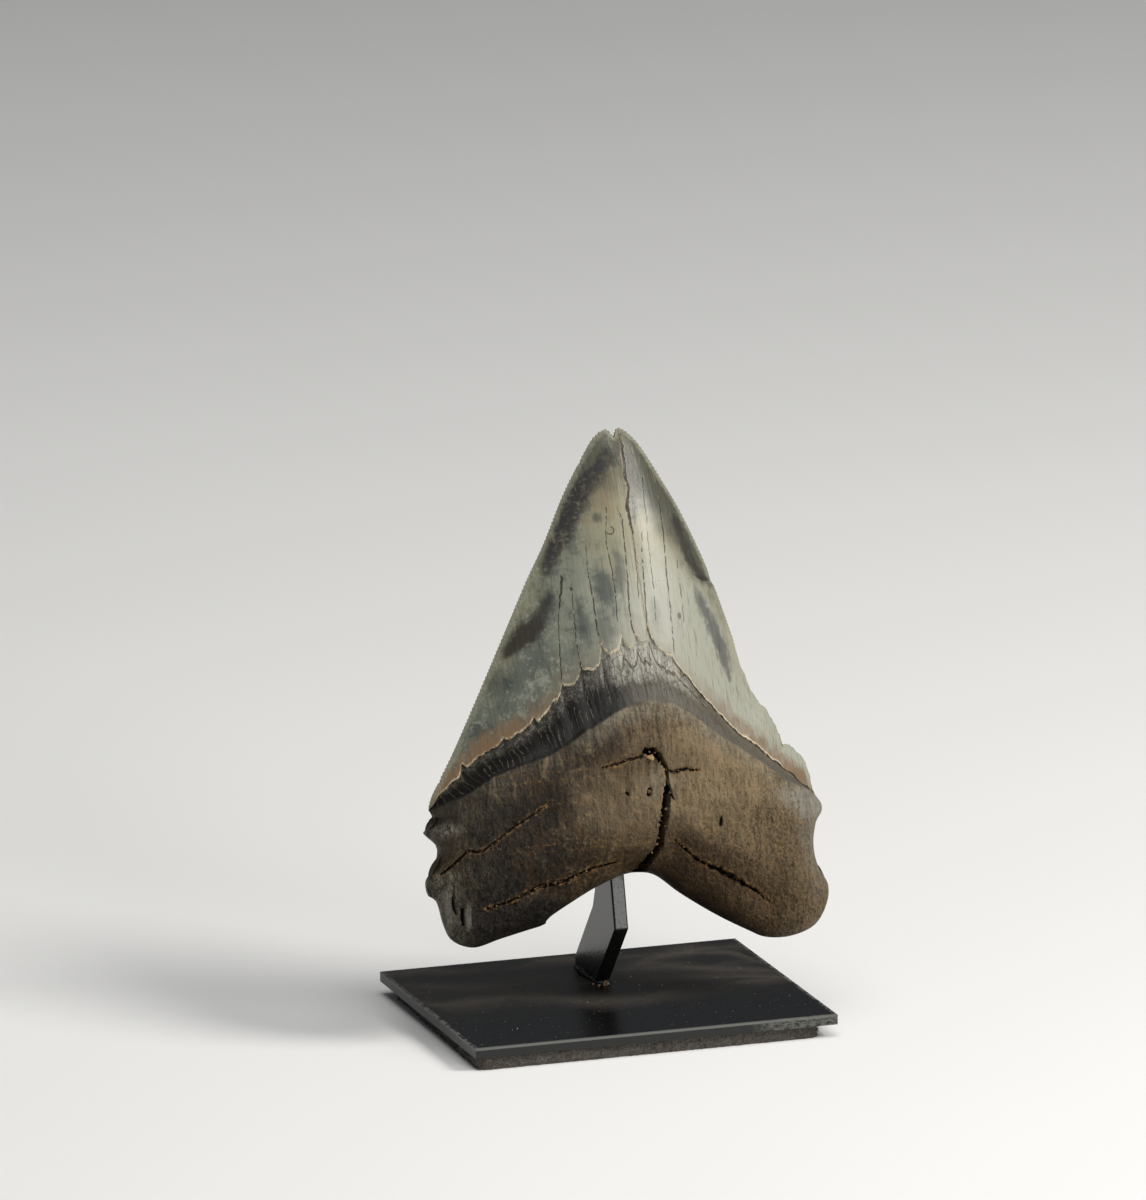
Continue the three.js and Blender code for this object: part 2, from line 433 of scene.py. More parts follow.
@dataclass(frozen=True)
class ToothLines:
    """The lines that the tooth's surface is built on, as (a, b) in millimetres."""

    left_edge: tuple[Point, ...] = (
        (-39.5, 16), (-38.3, 19.3), (-33.5, 27), (-27.5, 37.5), (-20.5, 50), (-15, 59.8),
        (-10.5, 67.2), (-5.5, 76.5), (0.5, 85.5), (2.5, 87.6), (4.0, 88.6), (5.0, 88.4))
    tip_notch: Point = (6.0, 86.9)
    right_edge: tuple[Point, ...] = (
        (6.7, 88.4), (7.5, 88.6), (9.3, 87.3), (11.6, 84.4), (15.5, 77.2), (19, 70), (23.5, 58), (27.4, 44),
        (28.4, 39.5), (31, 32.5), (33.3, 29.8), (35.5, 24.4))
    heel: tuple[Point, ...] = ((35.7, 23), (37.2, 22.8), (39.8, 19.8), (40.9, 16.3), (41.2, 13.3))
    root: tuple[Point, ...] = (
        (-39.5, 16), (-38.9, 13.8), (-41.3, 11.6), (-39, 8.6), (-39.9, 5.1), (-42, 2.2),
        (-41.8, -0.6), (-40, -2.2), (-39, -6.8), (-37.4, -10.1), (-33.4, -11.7), (-28, -10.5),
        (-22.4, -9.3), (-18.8, -8.5), (-17.6, -7.2), (-12.8, -4.6), (-7.5, -2.1), (-1.3, 0),
        (3, 0.1), (6.2, -1), (10.8, -4.8), (17.8, -9.6), (24.3, -13.3), (28, -15),
        (33.2, -15.2), (38.2, -13.5), (41, -9.7), (41.7, -5.7), (39.8, -1.8), (39.1, 2.4),
        (39.9, 6.8), (41.5, 9.4), (41.2, 13.3))
    arch: float = 1.5
    root_bridged: tuple[Point, ...] = (
        (-39.5, 16), (-41.4, 12), (-42.3, 6), (-42, 0), (-40.3, -6), (-37.6, -10.6),
        (-33.4, -12), (-28, -11), (-20, -9), (-12.8, -4.9), (-7.5, -2.1), (-1.3, 0), (3, 0.1),
        (6.2, -1), (10.8, -4.8), (17.8, -9.6), (24.3, -13.3), (28, -15), (33.2, -15.4),
        (38.2, -13.7), (41.2, -9.9), (42, -5.7), (41.4, 0), (41.4, 6), (41.9, 10), (41.2, 13.3))
    enamel: tuple[Point, ...] = (
        (-39.5, 16), (-36.3, 19.9), (-29.6, 25.4), (-23.2, 28.9), (-17.9, 31.7), (-13.9, 35.8),
        (-9.9, 38.5), (-5.4, 41.1), (0.3, 44.4), (5.7, 45.8), (8.6, 43.6), (11, 41.6),
        (14.8, 37.1), (19.4, 31.5), (25, 25.7), (31.4, 20.9), (37, 15.9), (41.2, 13.3))
    enamel_spikes: Course = (
        (-12.2, 1.6, 0.5), (-11.4, 0.9, 1.1), (-8.1, 1.9, 0.5), (-7.2, 1.2, 1.3), (-3.6, 2.9, 0.55),
        (-2.6, 1.3, 1.4), (0.7, 2.3, 0.5), (3.6, 2.2, 0.4), (6.4, 3.6, 0.45), (7.4, 1.2, 0.8),
        (11.0, 1.2, 0.9), (14.2, 0.6, 0.7), (-18.3, 1.2, 0.5), (-24.5, 0.8, 0.5), (-32.4, 1.6, 0.4))
    shoulder: tuple[Point, ...] = (
        (-39.5, 15.8), (-34.5, 18.6), (-28.7, 22), (-17.8, 25), (-10.1, 29), (-3.7, 32.3),
        (0.3, 33.8), (4.5, 34.1), (8.9, 32.9), (13.5, 29.7), (18.2, 25.6), (25.2, 21),
        (31.5, 15.9), (37, 13.9), (41.2, 13.1))
    back_enamel: tuple[Point, ...] = (
        (-39.5, 16), (-33, 20), (-24, 23.5), (-14, 26.5), (-4, 28.4), (6, 28.8), (14, 27),
        (24, 22.6), (33, 18), (41.2, 13.3))


@dataclass(frozen=True)
class ToothDepths:
    """Depths of the tooth's surfaces, all as c in millimetres."""

    crown_edge: float = 4.5
    tip_curl: float = 2.0
    root_rim: float = 7.5
    crest: float = 19.5
    back: float = 0.8
    front_bulge: float = 0.42
    back_bulge: float = 0.13
    front_reach: float = 8.5
    back_reach: float = 6.0
    enamel_lip: float = 0.35
    edge_foot: float = 15.0
    edge_length: float = 74.0
    rim_turns: Point = (9.0, 16.5)
    crest_middle: Point = (3.0, 24.0)
    crest_half_width: float = 35.0
    crest_fall: float = 4.0
    crest_curve: float = 0.0035
    back_turns: Point = (-6.0, 4.0)


CRACKS: dict[str, Crack] = {
    "main": Crack((
        (2.0, 24.1, 1.5), (3.3, 23.9, 1.4), (4.7, 22.3, 1.0), (5.7, 20.4, 0.6), (5.9, 19.0, 0.45),
        (5.9, 17.4, 0.6), (5.7, 15.6, 1.3), (5.2, 13.2, 1.2), (4.7, 10.8, 1.35), (4.3, 8.6, 1.2),
        (4.1, 6.6, 1.35), (3.9, 5.2, 1.3), (2.7, 3.2, 1.6), (1.8, 1.4, 1.9), (1.3, 0.2, 2.4),
        (1.2, -1, 2.8)), 5.5, 0.3),
    "left": Crack(((-7.4, 21.7, 0.1), (-5.4, 22.1, 0.16), (-3.8, 22.3, 0.24), (-2.0, 22.9, 0.3),
                   (-0.6, 23, 0.36), (1.2, 23.4, 0.6)), 0.5, 0.6),
    "right": Crack(((6.2, 20.1, 0.5), (7.3, 19.6, 0.4), (8.5, 19.9, 0.42), (10.2, 20.1, 0.34),
                    (11, 19.8, 0.3), (12.8, 19.6, 0.12)), 0.6, 0.6),
    "spur": Crack(((5.9, 17.2, 0.7), (6.6, 15.6, 0.5), (7.1, 14.3, 0.15)), 1.2),
    "upper_left": Crack((
        (-18.9, 15.4, 0.08), (-21.5, 13.9, 0.14), (-25, 12, 0.18), (-27.3, 10.6, 0.2),
        (-29.2, 9.1, 0.24), (-31.7, 7.5, 0.34), (-33.4, 7.2, 0.4), (-35, 7.7, 0.2)), 0.45, 0.6),
    "left_end": Crack(((-35.0, 7.4, 0.15), (-36.6, 5.9, 0.4), (-38.4, 4.4, 0.3), (-39.8, 3.4, 0.2)), 0.6),
    "left_lobe": Crack((
        (-31.4, -4.1, 0.1), (-26.8, -3, 0.2), (-23.6, -1.7, 0.3), (-20.9, -0.6, 0.5),
        (-17.6, -0.2, 0.6), (-15.2, 0.1, 0.36), (-12.8, 1.1, 0.3), (-9.5, 2.2, 0.24),
        (-4.9, 2.8, 0.1)), 0.9, 0.7),
    "right_lobe": Crack((
        (7.3, 6.2, 0.14), (9.4, 4.2, 0.3), (11.5, 2.2, 0.38), (14, 0.6, 0.34), (16.4, -0.5, 0.6),
        (18.4, -1.8, 0.8), (20.5, -3.1, 0.66), (22.4, -4.4, 0.4), (24.2, -5.3, 0.45),
        (26.2, -6.9, 0.26), (27.4, -7.9, 0.12)), 1.3, 0.9),
    "slot": Crack(((-36.3, -3.8, 0.4), (-36.4, -5.4, 0.6), (-36.2, -6.9, 0.3)), 1.0),
    "slot_upper": Crack(((-38.0, -1.2, 0.15), (-37.9, -3.0, 0.35), (-37.5, -4.6, 0.15)), 0.6),
    "pit": Crack(((1.9, 16.6, 0.9), (1.8, 15.8, 1.0)), 1.1),
    "pit_left": Crack(((-2.8, 16.3, 0.45), (-2.6, 16.1, 0.5)), 0.7),
    "pit_right": Crack(((17.2, 9.9, 0.15), (17.0, 9.3, 0.45), (16.8, 8.5, 0.55)), 0.7),
}


class ToothShape:
    """Where the tooth's surface runs, in millimetres in its own frame."""

    # Cracks that the root creases along, with each crease's depth and width.
    CREASES: tuple[tuple[str, float, float], ...] = (
        ("upper_left", 0.55, 2.6), ("left_lobe", 0.5, 2.2), ("right_lobe", 0.55, 2.4), ("left", 0.3, 1.6),
        ("right", 0.3, 1.6))

    def __init__(self, lines: ToothLines, depths: ToothDepths) -> None:
        """Samples the lines.

        Args:
            lines: The outline and the borders on the two faces.
            depths: The depths of the faces.
        """
        self.lines = lines
        self.depths = depths
        self.left = smooth_line(lines.left_edge, 1.0)
        self.right = np.vstack([smooth_line(lines.right_edge, 1.0), smooth_line(lines.heel, 1.0)])
        self.root = smooth_line(lines.root, 1.0)
        self.bridged = smooth_line(lines.root_bridged, 1.0)
        self.crown_rim = np.vstack([self.left, lines.tip_notch, self.right])
        self.coarse = Roughness2D(3)
        self.medium = Roughness2D(11)
        self.fine = Roughness2D(23)

    @staticmethod
    def _height(line: Sequence[Point], a: np.ndarray) -> np.ndarray:
        """The height of a border at a."""
        xs, ys = np.array(line).T
        return np.interp(a, xs, ys)

    def enamel_line(self, a: np.ndarray) -> np.ndarray:
        """Where the enamel ends on the display face, with a spike at each crack that meets it.

        Args:
            a: Places across the tooth.

        Returns:
            The enamel's end, one height for each.
        """
        height = self._height(self.lines.enamel, a) + 0.35 * self.medium.layers(a * 0.9, a * 0 + 5, 3)
        for at, tall, wide in self.lines.enamel_spikes:
            height = height + tall * np.exp(-np.abs((a - at) / wide) ** 1.3)
        return height

    def shoulder_line(self, a: np.ndarray) -> np.ndarray:
        """Where the root's shoulder begins.

        Args:
            a: Places across the tooth.

        Returns:
            The shoulder's height for each.
        """
        height = self._height(self.lines.shoulder, a) + 0.15 * self.medium.layers(a * 0.6, a * 0 + 40, 2)
        to_left, to_right = a - self.lines.shoulder[0][0], self.lines.shoulder[-1][0] - a
        room = 0.6 * smooth_step(np.minimum(to_left, to_right), 0, 3)
        return np.minimum(height, self.enamel_line(a) - room)

    def back_enamel_line(self, a: np.ndarray) -> np.ndarray:
        """Where the enamel ends on the other face."""
        return self._height(self.lines.back_enamel, a) + 0.3 * self.medium.layers(a * 0.8, a * 0 + 80, 3)

    def edge_depth(self, b: np.ndarray) -> np.ndarray:
        """The depth of the crown's sharp edge, which curls back towards the tip."""
        up = np.clip((b - self.depths.edge_foot) / self.depths.edge_length, 0, 2)
        return self.depths.crown_edge - self.depths.tip_curl * up * up

    def rim_depth(self, b: np.ndarray) -> np.ndarray:
        """The depth of the whole rim, from the middle of the root to the crown's edge."""
        t = smooth_step(b, *self.depths.rim_turns)
        return self.depths.root_rim * (1 - t) + self.edge_depth(b) * t

    def blade(self, where: np.ndarray, bulge: float) -> np.ndarray:
        """The height of the crown's lens between its two edges.

        Args:
            where: Places in the tooth's frame.
            bulge: How far the lens stands out, as a share of half its width.

        Returns:
            One height for each place.
        """
        left, _ = nearest_on(self.left, where)
        right, _ = nearest_on(self.right, where)
        width = left + right
        return bulge * width / 2 * 4 * left * right / (width * width + 1e-9)

    @staticmethod
    def rounded(distance: np.ndarray, reach: float) -> np.ndarray:
        """A quarter circle from 0 at the rim to 1 at reach from it."""
        x = np.clip(distance / reach, 0, 1)
        return np.sqrt(1 - (1 - x) ** 2)

    def in_from_root_rim(self, where: np.ndarray) -> np.ndarray:
        """The distance in from the root's rim, with its notches bridged further in.

        Args:
            where: Places in the tooth's frame.

        Returns:
            One distance for each place.
        """
        close, _ = nearest_on(self.root, where)
        wide, _ = nearest_on(self.bridged, where)
        far = np.maximum(wide, close) + 1e-6
        return ((1.2 * close + 1e-6) ** -3.0 + far**-3.0) ** (-1 / 3)

    def front(self, where: np.ndarray) -> np.ndarray:
        """The depth of the display face before its relief.

        Args:
            where: Places in the tooth's frame.

        Returns:
            One depth for each place.
        """
        a, b = where.T
        d = self.depths
        crown = self.edge_depth(b) + self.blade(where, d.front_bulge)
        sideways = np.abs(a - d.crest_middle[0]) / d.crest_half_width
        face = d.crest - d.crest_fall * sideways**1.6 - d.crest_curve * (b - d.crest_middle[1]) ** 2
        near = self.rounded(self.in_from_root_rim(where), d.front_reach)
        root = self.rim_depth(b) * (1 - near) + face * near
        enamel = self.enamel_smooth(a)
        shoulder = np.minimum(self._height(self.lines.shoulder, a), enamel - 3.0)
        t = smooth_step(b, shoulder, enamel)
        return root * (1 - t) + crown * t

    def enamel_smooth(self, a: np.ndarray) -> np.ndarray:
        """The enamel's border without its spikes."""
        return self._height(self.lines.enamel, a)

    def back(self, where: np.ndarray) -> np.ndarray:
        """The depth of the other face before its relief.

        Args:
            where: Places in the tooth's frame.

        Returns:
            One depth for each place.
        """
        a, b = where.T
        crown = self.edge_depth(b) - self.blade(where, self.depths.back_bulge)
        near = self.rounded(self.in_from_root_rim(where), self.depths.back_reach)
        root = self.rim_depth(b) * (1 - near) + self.depths.back * near
        line = self._height(self.lines.back_enamel, a)
        below, above = self.depths.back_turns
        t = smooth_step(b, line + below, line + above)
        return root * (1 - t) + crown * t

    def opened(self, where: np.ndarray) -> tuple[np.ndarray, np.ndarray]:
        """How far the cracks cut into the display face.

        Args:
            where: Points as (a, b).

        Returns:
            The depth of the cut at each point, and how dark it is there, from 0 to 1.
        """
        cut = np.zeros(len(where))
        dark = np.zeros(len(where))
        a, b = where.T
        for crack in CRACKS.values():
            course = np.array(crack.course)
            away, along = nearest_on(course[:, :2], where)
            width = np.interp(along, np.arange(len(course)), course[:, 2])
            width = width * (1 + crack.ragged * self.medium.layers(a * 1.7, b * 1.7, 3))
            inside = 1 - smooth_step(away, 0.42 * width, 0.56 * width + 0.1)
            cut = np.maximum(cut, inside * crack.depth)
            dark = np.maximum(dark, 1 - smooth_step(away, 0.4 * width, 0.56 * width + 0.08))
        return cut, dark

    def folds(self, where: np.ndarray) -> np.ndarray:
        """Broad creases of the root: a valley along each long crack and a swelling beside it.

        Args:
            where: Places in the tooth's frame.

        Returns:
            One height for each place.
        """
        height = np.zeros(len(where))
        for name, deep, wide in self.CREASES:
            away, _ = nearest_on(np.array(CRACKS[name].course)[:, :2], where)
            height += deep * (0.5 * np.exp(-((away - 2.2 * wide) / wide) ** 2) - np.exp(-(away / wide) ** 2))
        return height

    def relief(self, where: np.ndarray) -> np.ndarray:
        """Everything that stands off the display face's smooth shape.

        Args:
            where: Places in the tooth's frame.

        Returns:
            One height for each place.
        """
        a, b = where.T
        enamel, shoulder = self.enamel_line(a), self.shoulder_line(a)
        rim, _ = nearest_on(self.crown_rim, where)
        root_rim, _ = nearest_on(self.root, where)
        on_crown = smooth_step(b, enamel - 0.15, enamel + 0.1)
        on_root = 1 - smooth_step(b, shoulder - 0.2, shoulder + 0.5)
        band = np.clip(1 - on_crown - on_root, 0, 1)
        tall = np.maximum(enamel - shoulder, 0.6)
        t = np.clip((b - shoulder) / tall, 0, 1)
        left_side = 1 - smooth_step(a, -6.0, 8.0)
        hollow = np.minimum((0.75 + 0.85 * left_side), 0.14 * tall) * 3.2 * t**0.55 * (1 - t) ** 1.5
        lip = self.depths.enamel_lip * (1 - on_crown) * smooth_step(t, 0.15, 0.9)
        height = -(1 - on_crown) * (1 - on_root) * (hollow + lip)
        ridges = self.fine.layers(a * 1.9, b * 0.22, 2)
        height += band * 0.07 * ridges
        lumps = 0.62 * self.coarse.layers(a * 0.13, b * 0.13, 3)
        streaks = 0.16 * self.fine.layers(a * 1.0, b * 0.24 + 30, 3)
        low = 1 - smooth_step(b - 0.12 * np.abs(a), -4.0, 18.0)
        grit = (0.05 + 0.11 * low) * self.medium.layers(a * 1.8, b * 1.8, 2)
        folds = self.folds(where)
        height += on_root * (lumps + streaks + grit + folds) * smooth_step(root_rim, 0.0, 2.5)
        height += on_crown * 0.06 * self.coarse.layers(a * 0.35, b * 0.05 + 9, 2) * smooth_step(rim, 0, 4)
        cut, _ = self.opened(where)
        return height - cut

    def back_relief(self, where: np.ndarray) -> np.ndarray:
        """Everything that stands off the other face's smooth shape, towards the display face.

        Args:
            where: Places in the tooth's frame.

        Returns:
            One height for each place.
        """
        a, b = where.T
        line = self.back_enamel_line(a)
        root_rim, _ = nearest_on(self.root, where)
        on_crown = smooth_step(b, line - 0.2, line + 0.1)
        lumps = 0.3 * self.coarse.layers(a * 0.12 + 40, b * 0.14, 2)
        streaks = 0.09 * self.fine.layers(a * 1.2 + 70, b * 0.18, 2)
        grit = 0.06 * self.medium.layers(a * 1.8 + 50, b * 1.8, 2)
        root = (lumps + streaks + grit) * smooth_step(root_rim, 0, 2.5)
        return (1 - on_crown) * (root + 0.3 * smooth_step(b, line - 7, line))


# ---- making pieces


def deselect() -> None:
    """Leaves edit mode and selects nothing."""
    if bpy.context.object is not None and bpy.context.object.mode != "OBJECT":
        bpy.ops.object.mode_set(mode="OBJECT")
    bpy.ops.object.select_all(action="DESELECT")


def pick(piece: bpy.types.Object) -> None:
    """Makes one object the only one selected and the active one.

    Args:
        piece: The object.
    """
    deselect()
    piece.select_set(True)
    bpy.context.view_layer.objects.active = piece


@contextmanager
def editing(piece: bpy.types.Object) -> Iterator[None]:
    """Edit mode, with the piece's whole mesh selected.

    Args:
        piece: The object.

    Yields:
        Nothing; edit mode ends after the block.
    """
    pick(piece)
    bpy.ops.object.mode_set(mode="EDIT")
    bpy.ops.mesh.select_all(action="SELECT")
    yield
    bpy.ops.object.mode_set(mode="OBJECT")


def in_scene(name: str, data: bpy.types.ID) -> bpy.types.Object:
    """A new object in the scene.

    Args:
        name: The object's name.
        data: Its mesh, lamp or camera.

    Returns:
        The object.
    """
    made = bpy.data.objects.new(name, data)
    bpy.context.collection.objects.link(made)
    return made


def new_mesh(name: str, places: np.ndarray, faces: Sequence[Sequence[int]]) -> bpy.types.Object:
    """A new object from its vertices, in millimetres, and its faces.

    Args:
        name: The object's name.
        places: One vertex in each row.
        faces: The vertices round each face.

    Returns:
        The object.
    """
    mesh = bpy.data.meshes.new(name)
    mesh.from_pydata((places * MM).tolist(), [], faces)
    return in_scene(name, mesh)


def settle(piece: bpy.types.Object) -> None:
    """Puts a piece's place, turn and size into its mesh."""
    pick(piece)
    bpy.ops.object.transform_apply(location=True, rotation=True, scale=True)


def apply_modifier(piece: bpy.types.Object, kind: str, **settings: object) -> None:
    """Adds a modifier and applies it at once.

    Args:
        piece: The object.
        kind: The modifier's type.
        **settings: What is set on it first.
    """
    pick(piece)
    modifier = piece.modifiers.new(kind.lower(), kind)
    for name, value in settings.items():
        setattr(modifier, name, value)
    bpy.ops.object.modifier_apply(modifier=modifier.name)


def corners_of(piece: bpy.types.Object) -> np.ndarray:
    """The piece's vertices, one row each.

    Args:
        piece: The object.

    Returns:
        Their places.
    """
    found = np.empty(len(piece.data.vertices) * 3)
    piece.data.vertices.foreach_get("co", found)
    return found.reshape(-1, 3)


def place_corners(piece: bpy.types.Object, places: np.ndarray) -> None:
    """Moves the piece's vertices."""
    piece.data.vertices.foreach_set("co", np.ascontiguousarray(places, float).ravel())
    piece.data.update()


def store(piece: bpy.types.Object, name: str, numbers: np.ndarray) -> None:
    """Stores a number for each vertex, for the piece's material to read."""
    layer = piece.data.attributes.new(name, "FLOAT", "POINT")
    layer.data.foreach_set("value", np.ascontiguousarray(numbers, np.float32))


def deliver(piece: bpy.types.Object, name: str, slot: Slot, material: bpy.types.Material,
            *stands_for: str) -> bpy.types.Object:
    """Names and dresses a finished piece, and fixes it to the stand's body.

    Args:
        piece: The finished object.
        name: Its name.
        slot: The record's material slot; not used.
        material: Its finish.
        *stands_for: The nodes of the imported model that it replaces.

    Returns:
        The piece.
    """
    piece.name = piece.data.name = name
    piece.data.materials.clear()
    piece.data.materials.append(material)
    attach(piece, BODY)
    if stands_for:
        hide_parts(*stands_for)
    LOG.info("%s: %d faces", name, len(piece.data.polygons))
    return piece


class ToothFrame:
    """Turns the tooth's millimetres into the model's metres."""

    LEAN = math.radians(14.5)
    STAND_OFF = 1.2
    ARCH_ABOVE_KINK = 11.2
    LEFT_OF_POST = 0.6

    def __init__(self) -> None:
        """Finds the tooth's frame from the post and the plate."""
        low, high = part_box("post")
        plate_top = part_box("base_plate")[1].z / MM
        kink = 14.0
        sine, cosine = math.sin(self.LEAN), math.cos(self.LEAN)
        self.origin = Vector((
            (low.x + high.x) / 2 / MM - self.LEFT_OF_POST,
            low.y / MM - self.STAND_OFF * cosine + self.ARCH_ABOVE_KINK * sine,
            plate_top + kink + self.STAND_OFF * sine + self.ARCH_ABOVE_KINK * cosine))
        self.turn = math.pi / 2 - self.LEAN
        self.axes = np.array(Matrix.Rotation(self.turn, 3, "X"))

    def to_model(self, places: np.ndarray) -> np.ndarray:
        """Millimetres in the tooth's frame to metres in the model's."""
        return (places @ self.axes.T + np.array(self.origin)) * MM

    def in_shader(self, shader: Shader) -> Value:
        """The tooth's own millimetres in a material."""
        where = shader.add("TexCoord", {}, {}, "Object")
        return shader.add("Mapping", {"vector_type": "TEXTURE"}, {
            "Vector": where, "Location": tuple(self.origin * MM), "Rotation": (self.turn, 0, 0),
            "Scale": (MM, MM, MM)})


@dataclass
class Tooth:
    """The fossil tooth: one mesh with its cracks, its serrated edges and its root's texture."""

    lines: ToothLines = field(default_factory=ToothLines)
    depths: ToothDepths = field(default_factory=ToothDepths)
    step: float = 0.2
    serration: float = 0.83
    bead: float = 0.3
    most_faces: int = 186000
    nicks: tuple[tuple[float, float, float, float], ...] = (
        (23.7, 57.4, 0.9, 0.75), (27.7, 42.6, 1.0, 0.35), (28.6, 39.6, 0.7, 0.3),
        (29.9, 35.2, 1.4, 0.3), (33.6, 29.2, 0.8, 0.25), (-1.6, 82.4, 0.6, 0.15),
        (3.8, 88.4, 0.4, 0.2), (-36.8, 21.6, 0.5, 0.2), (38.6, 21.4, 0.5, 0.15))
    ROOT_ROWS = 120
    BAND_ROWS = 26
    CROWN_ROWS = 60
    BACK_CROWN_ROWS = 46
    BACK_ROOT_ROWS = 60

    def build(self, place: ToothFrame) -> bpy.types.Object:
        """Models the tooth.

        Args:
            place: Its frame.

        Returns:
            The object, in metres, with the numbers that its material reads.
        """
        self.shape = ToothShape(self.lines, self.depths)
        sheet = self._sheet()
        rows, columns, _ = sheet.shape
        bpy.ops.mesh.primitive_grid_add(x_subdivisions=columns - 1, y_subdivisions=rows - 1, size=2)
        tooth = bpy.context.object
        place_corners(tooth, sheet.reshape(-1, 3))
        with editing(tooth):
            bpy.ops.mesh.remove_doubles(threshold=0.004)
            bpy.ops.mesh.normals_make_consistent(inside=False)
            bpy.ops.mesh.quads_convert_to_tris()
        ratio = self.most_faces / len(tooth.data.polygons)
        if ratio < 1:
            apply_modifier(tooth, "DECIMATE", ratio=ratio)
        places = corners_of(tooth)
        self._store_numbers(tooth, places)
        place_corners(tooth, place.to_model(places))
        pick(tooth)
        bpy.ops.object.shade_smooth_by_angle(angle=math.radians(55))
        return tooth

    def _rim(self) -> tuple[np.ndarray, np.ndarray, np.ndarray]:
        """The crown's rim from the left corner over the tip to the right one.

        Returns:
            Its points, the directions out of the tooth, and the distance along it.
        """
        left, right, heel = (smooth_line(run, self.step)
                             for run in (self.lines.left_edge, self.lines.right_edge, self.lines.heel))
        notch = np.array([left[-1], self.lines.tip_notch, right[0]])
        across = np.arange(left[-1, 0] + 0.09, right[0, 0] - 0.05, 0.09)
        notch = np.column_stack([across, np.interp(across, *notch.T)])
        points = np.vstack([left, notch, right, heel])
        along = np.concatenate([[0], np.cumsum(np.hypot(*np.diff(points, axis=0).T))])
        forward = np.gradient(points, axis=0)
        outward = np.column_stack([-forward[:, 1], forward[:, 0]])
        outward /= np.hypot(*outward.T)[:, None]
        return points, outward, along

    def _bite(self, points: np.ndarray, along: np.ndarray) -> np.ndarray:
        """How far each rim point stands out: beads of the serration, less wear and nicks.

        Args:
            points: The rim's points.
            along: The distance along it.

        Returns:
            One distance outwards for each point.
        """
        a, b = points.T
        drift = 0.25 * self.shape.coarse.at(along * 0.3, along * 0)
        bead = np.abs(np.cos(np.pi * (along / self.serration + drift)))
        worn = smooth_step(b, 40.0, 46.0) * (a > 0) + (a <= 0) * (0.75 + 0.25 * smooth_step(b, 14, 22))
        worn = np.maximum(worn, 0.3 * (a > 36)) * (0.75 + 0.5 * self.shape.medium.at(along * 0.4, along * 0))
        out = self.bead * (bead - 0.62) * worn
        rough = (a > 20) * (1 - smooth_step(b, 40, 46))
        out += rough * 0.12 * self.shape.medium.layers(along * 0.9, along * 0 + 3, 3)
        for at_a, at_b, wide, deep in self.nicks:
            out -= deep * np.exp(-((a - at_a) ** 2 + (b - at_b) ** 2) / wide**2)
        return out

    def _sheet(self) -> np.ndarray:
        """The tooth's skin as rows of points: from the root's rim over the display face to the
        crown's rim, and back down the other face. The ends of the rows meet at the two corners.

        Returns:
            Rows of points of equal length, in the tooth's frame.
        """
        shape = self.shape
        rim, outward, along = self._rim()
        bite = self._bite(rim, along)
        a = np.maximum.accumulate(rim[:, 0])
        root = smooth_line(self.lines.root, 0.1)
        arch = np.abs(root[:, 0] - self.lines.arch).argmin()
        share = np.where(a < self.lines.arch,
                         (a - a[0]) / (self.lines.arch - a[0]) * arch,
                         arch + (a - self.lines.arch) / (a[-1] - self.lines.arch) * (len(root) - 1 - arch))
        foot = np.column_stack([np.interp(share, np.arange(len(root)), root[:, k]) for k in (0, 1)])
        shoulder, enamel, back = (
            np.column_stack([a, np.clip(height, None, rim[:, 1])])
            for height in (shape.shoulder_line(a), shape.enamel_line(a), shape.back_enamel_line(a)))
        for corner in (0, -1):
            shoulder[corner] = enamel[corner] = back[corner] = foot[corner] = rim[corner]

        def rows(start: np.ndarray, end: np.ndarray, count: int, power: float,
                 crowded_end: bool = False) -> list[np.ndarray]:
            """Rows of points from start towards end, closer together at one of them.

            Args:
                start: The first row.
                end: The row after the last.
                count: How many are made.
                power: How uneven their spacing is.
                crowded_end: Whether they crowd at the end.

            Returns:
                The rows.
            """
            t = np.linspace(0, 1, count, endpoint=False)
            t = 1 - (1 - t) ** power if crowded_end else t**power
            return [start + (end - start) * share for share in t]

        front_rows = [
            *rows(foot, shoulder, self.ROOT_ROWS, 1.6), *rows(shoulder, enamel, self.BAND_ROWS, 1.0),
            *rows(enamel, rim, self.CROWN_ROWS, 1.35, True)]
        back_rows = [
            *rows(rim, back, self.BACK_CROWN_ROWS, 1.35), *rows(back, foot, self.BACK_ROOT_ROWS, 1.6, True),
            foot]
        sheet = []
        for number, row in enumerate([*front_rows, *back_rows]):
            on_front = number < len(front_rows)
            away = np.hypot(*(row - rim).T)
            shifted = row + outward * (bite * np.exp(-away / 0.45))[:, None]
            depth = (shape.front(row) + shape.relief(row)) if on_front else (
                shape.back(row) + shape.back_relief(row))
            if row is foot or number in (0, len(front_rows)):
                depth = shape.rim_depth(row[:, 1])
            sheet.append(np.column_stack([shifted, depth]))
        return np.array(sheet)

    def _store_numbers(self, tooth: bpy.types.Object, places: np.ndarray) -> None:
        """Stores what the finish needs to know about each vertex.

        Args:
            tooth: The tooth's object.
            places: Its vertices in the tooth's frame.
        """
        shape = self.shape
        where = places[:, :2]
        a, b = where.T
        front = (places[:, 2] > shape.rim_depth(b)).astype(float)
        rim, along = nearest_on(shape.crown_rim, where)
        _, dark = shape.opened(where)
        line = np.where(front > 0.5, shape.enamel_line(a), shape.back_enamel_line(a))
        store(tooth, "display_side", front)
        store(tooth, "above_enamel", np.clip(b - line, -8, 8))
        store(tooth, "above_shoulder", np.clip(b - shape.shoulder_line(a), -8, 8))
        store(tooth, "in_crack", dark * front)
        store(tooth, "from_edge", np.minimum(rim, 12))
        store(tooth, "along_edge", along)


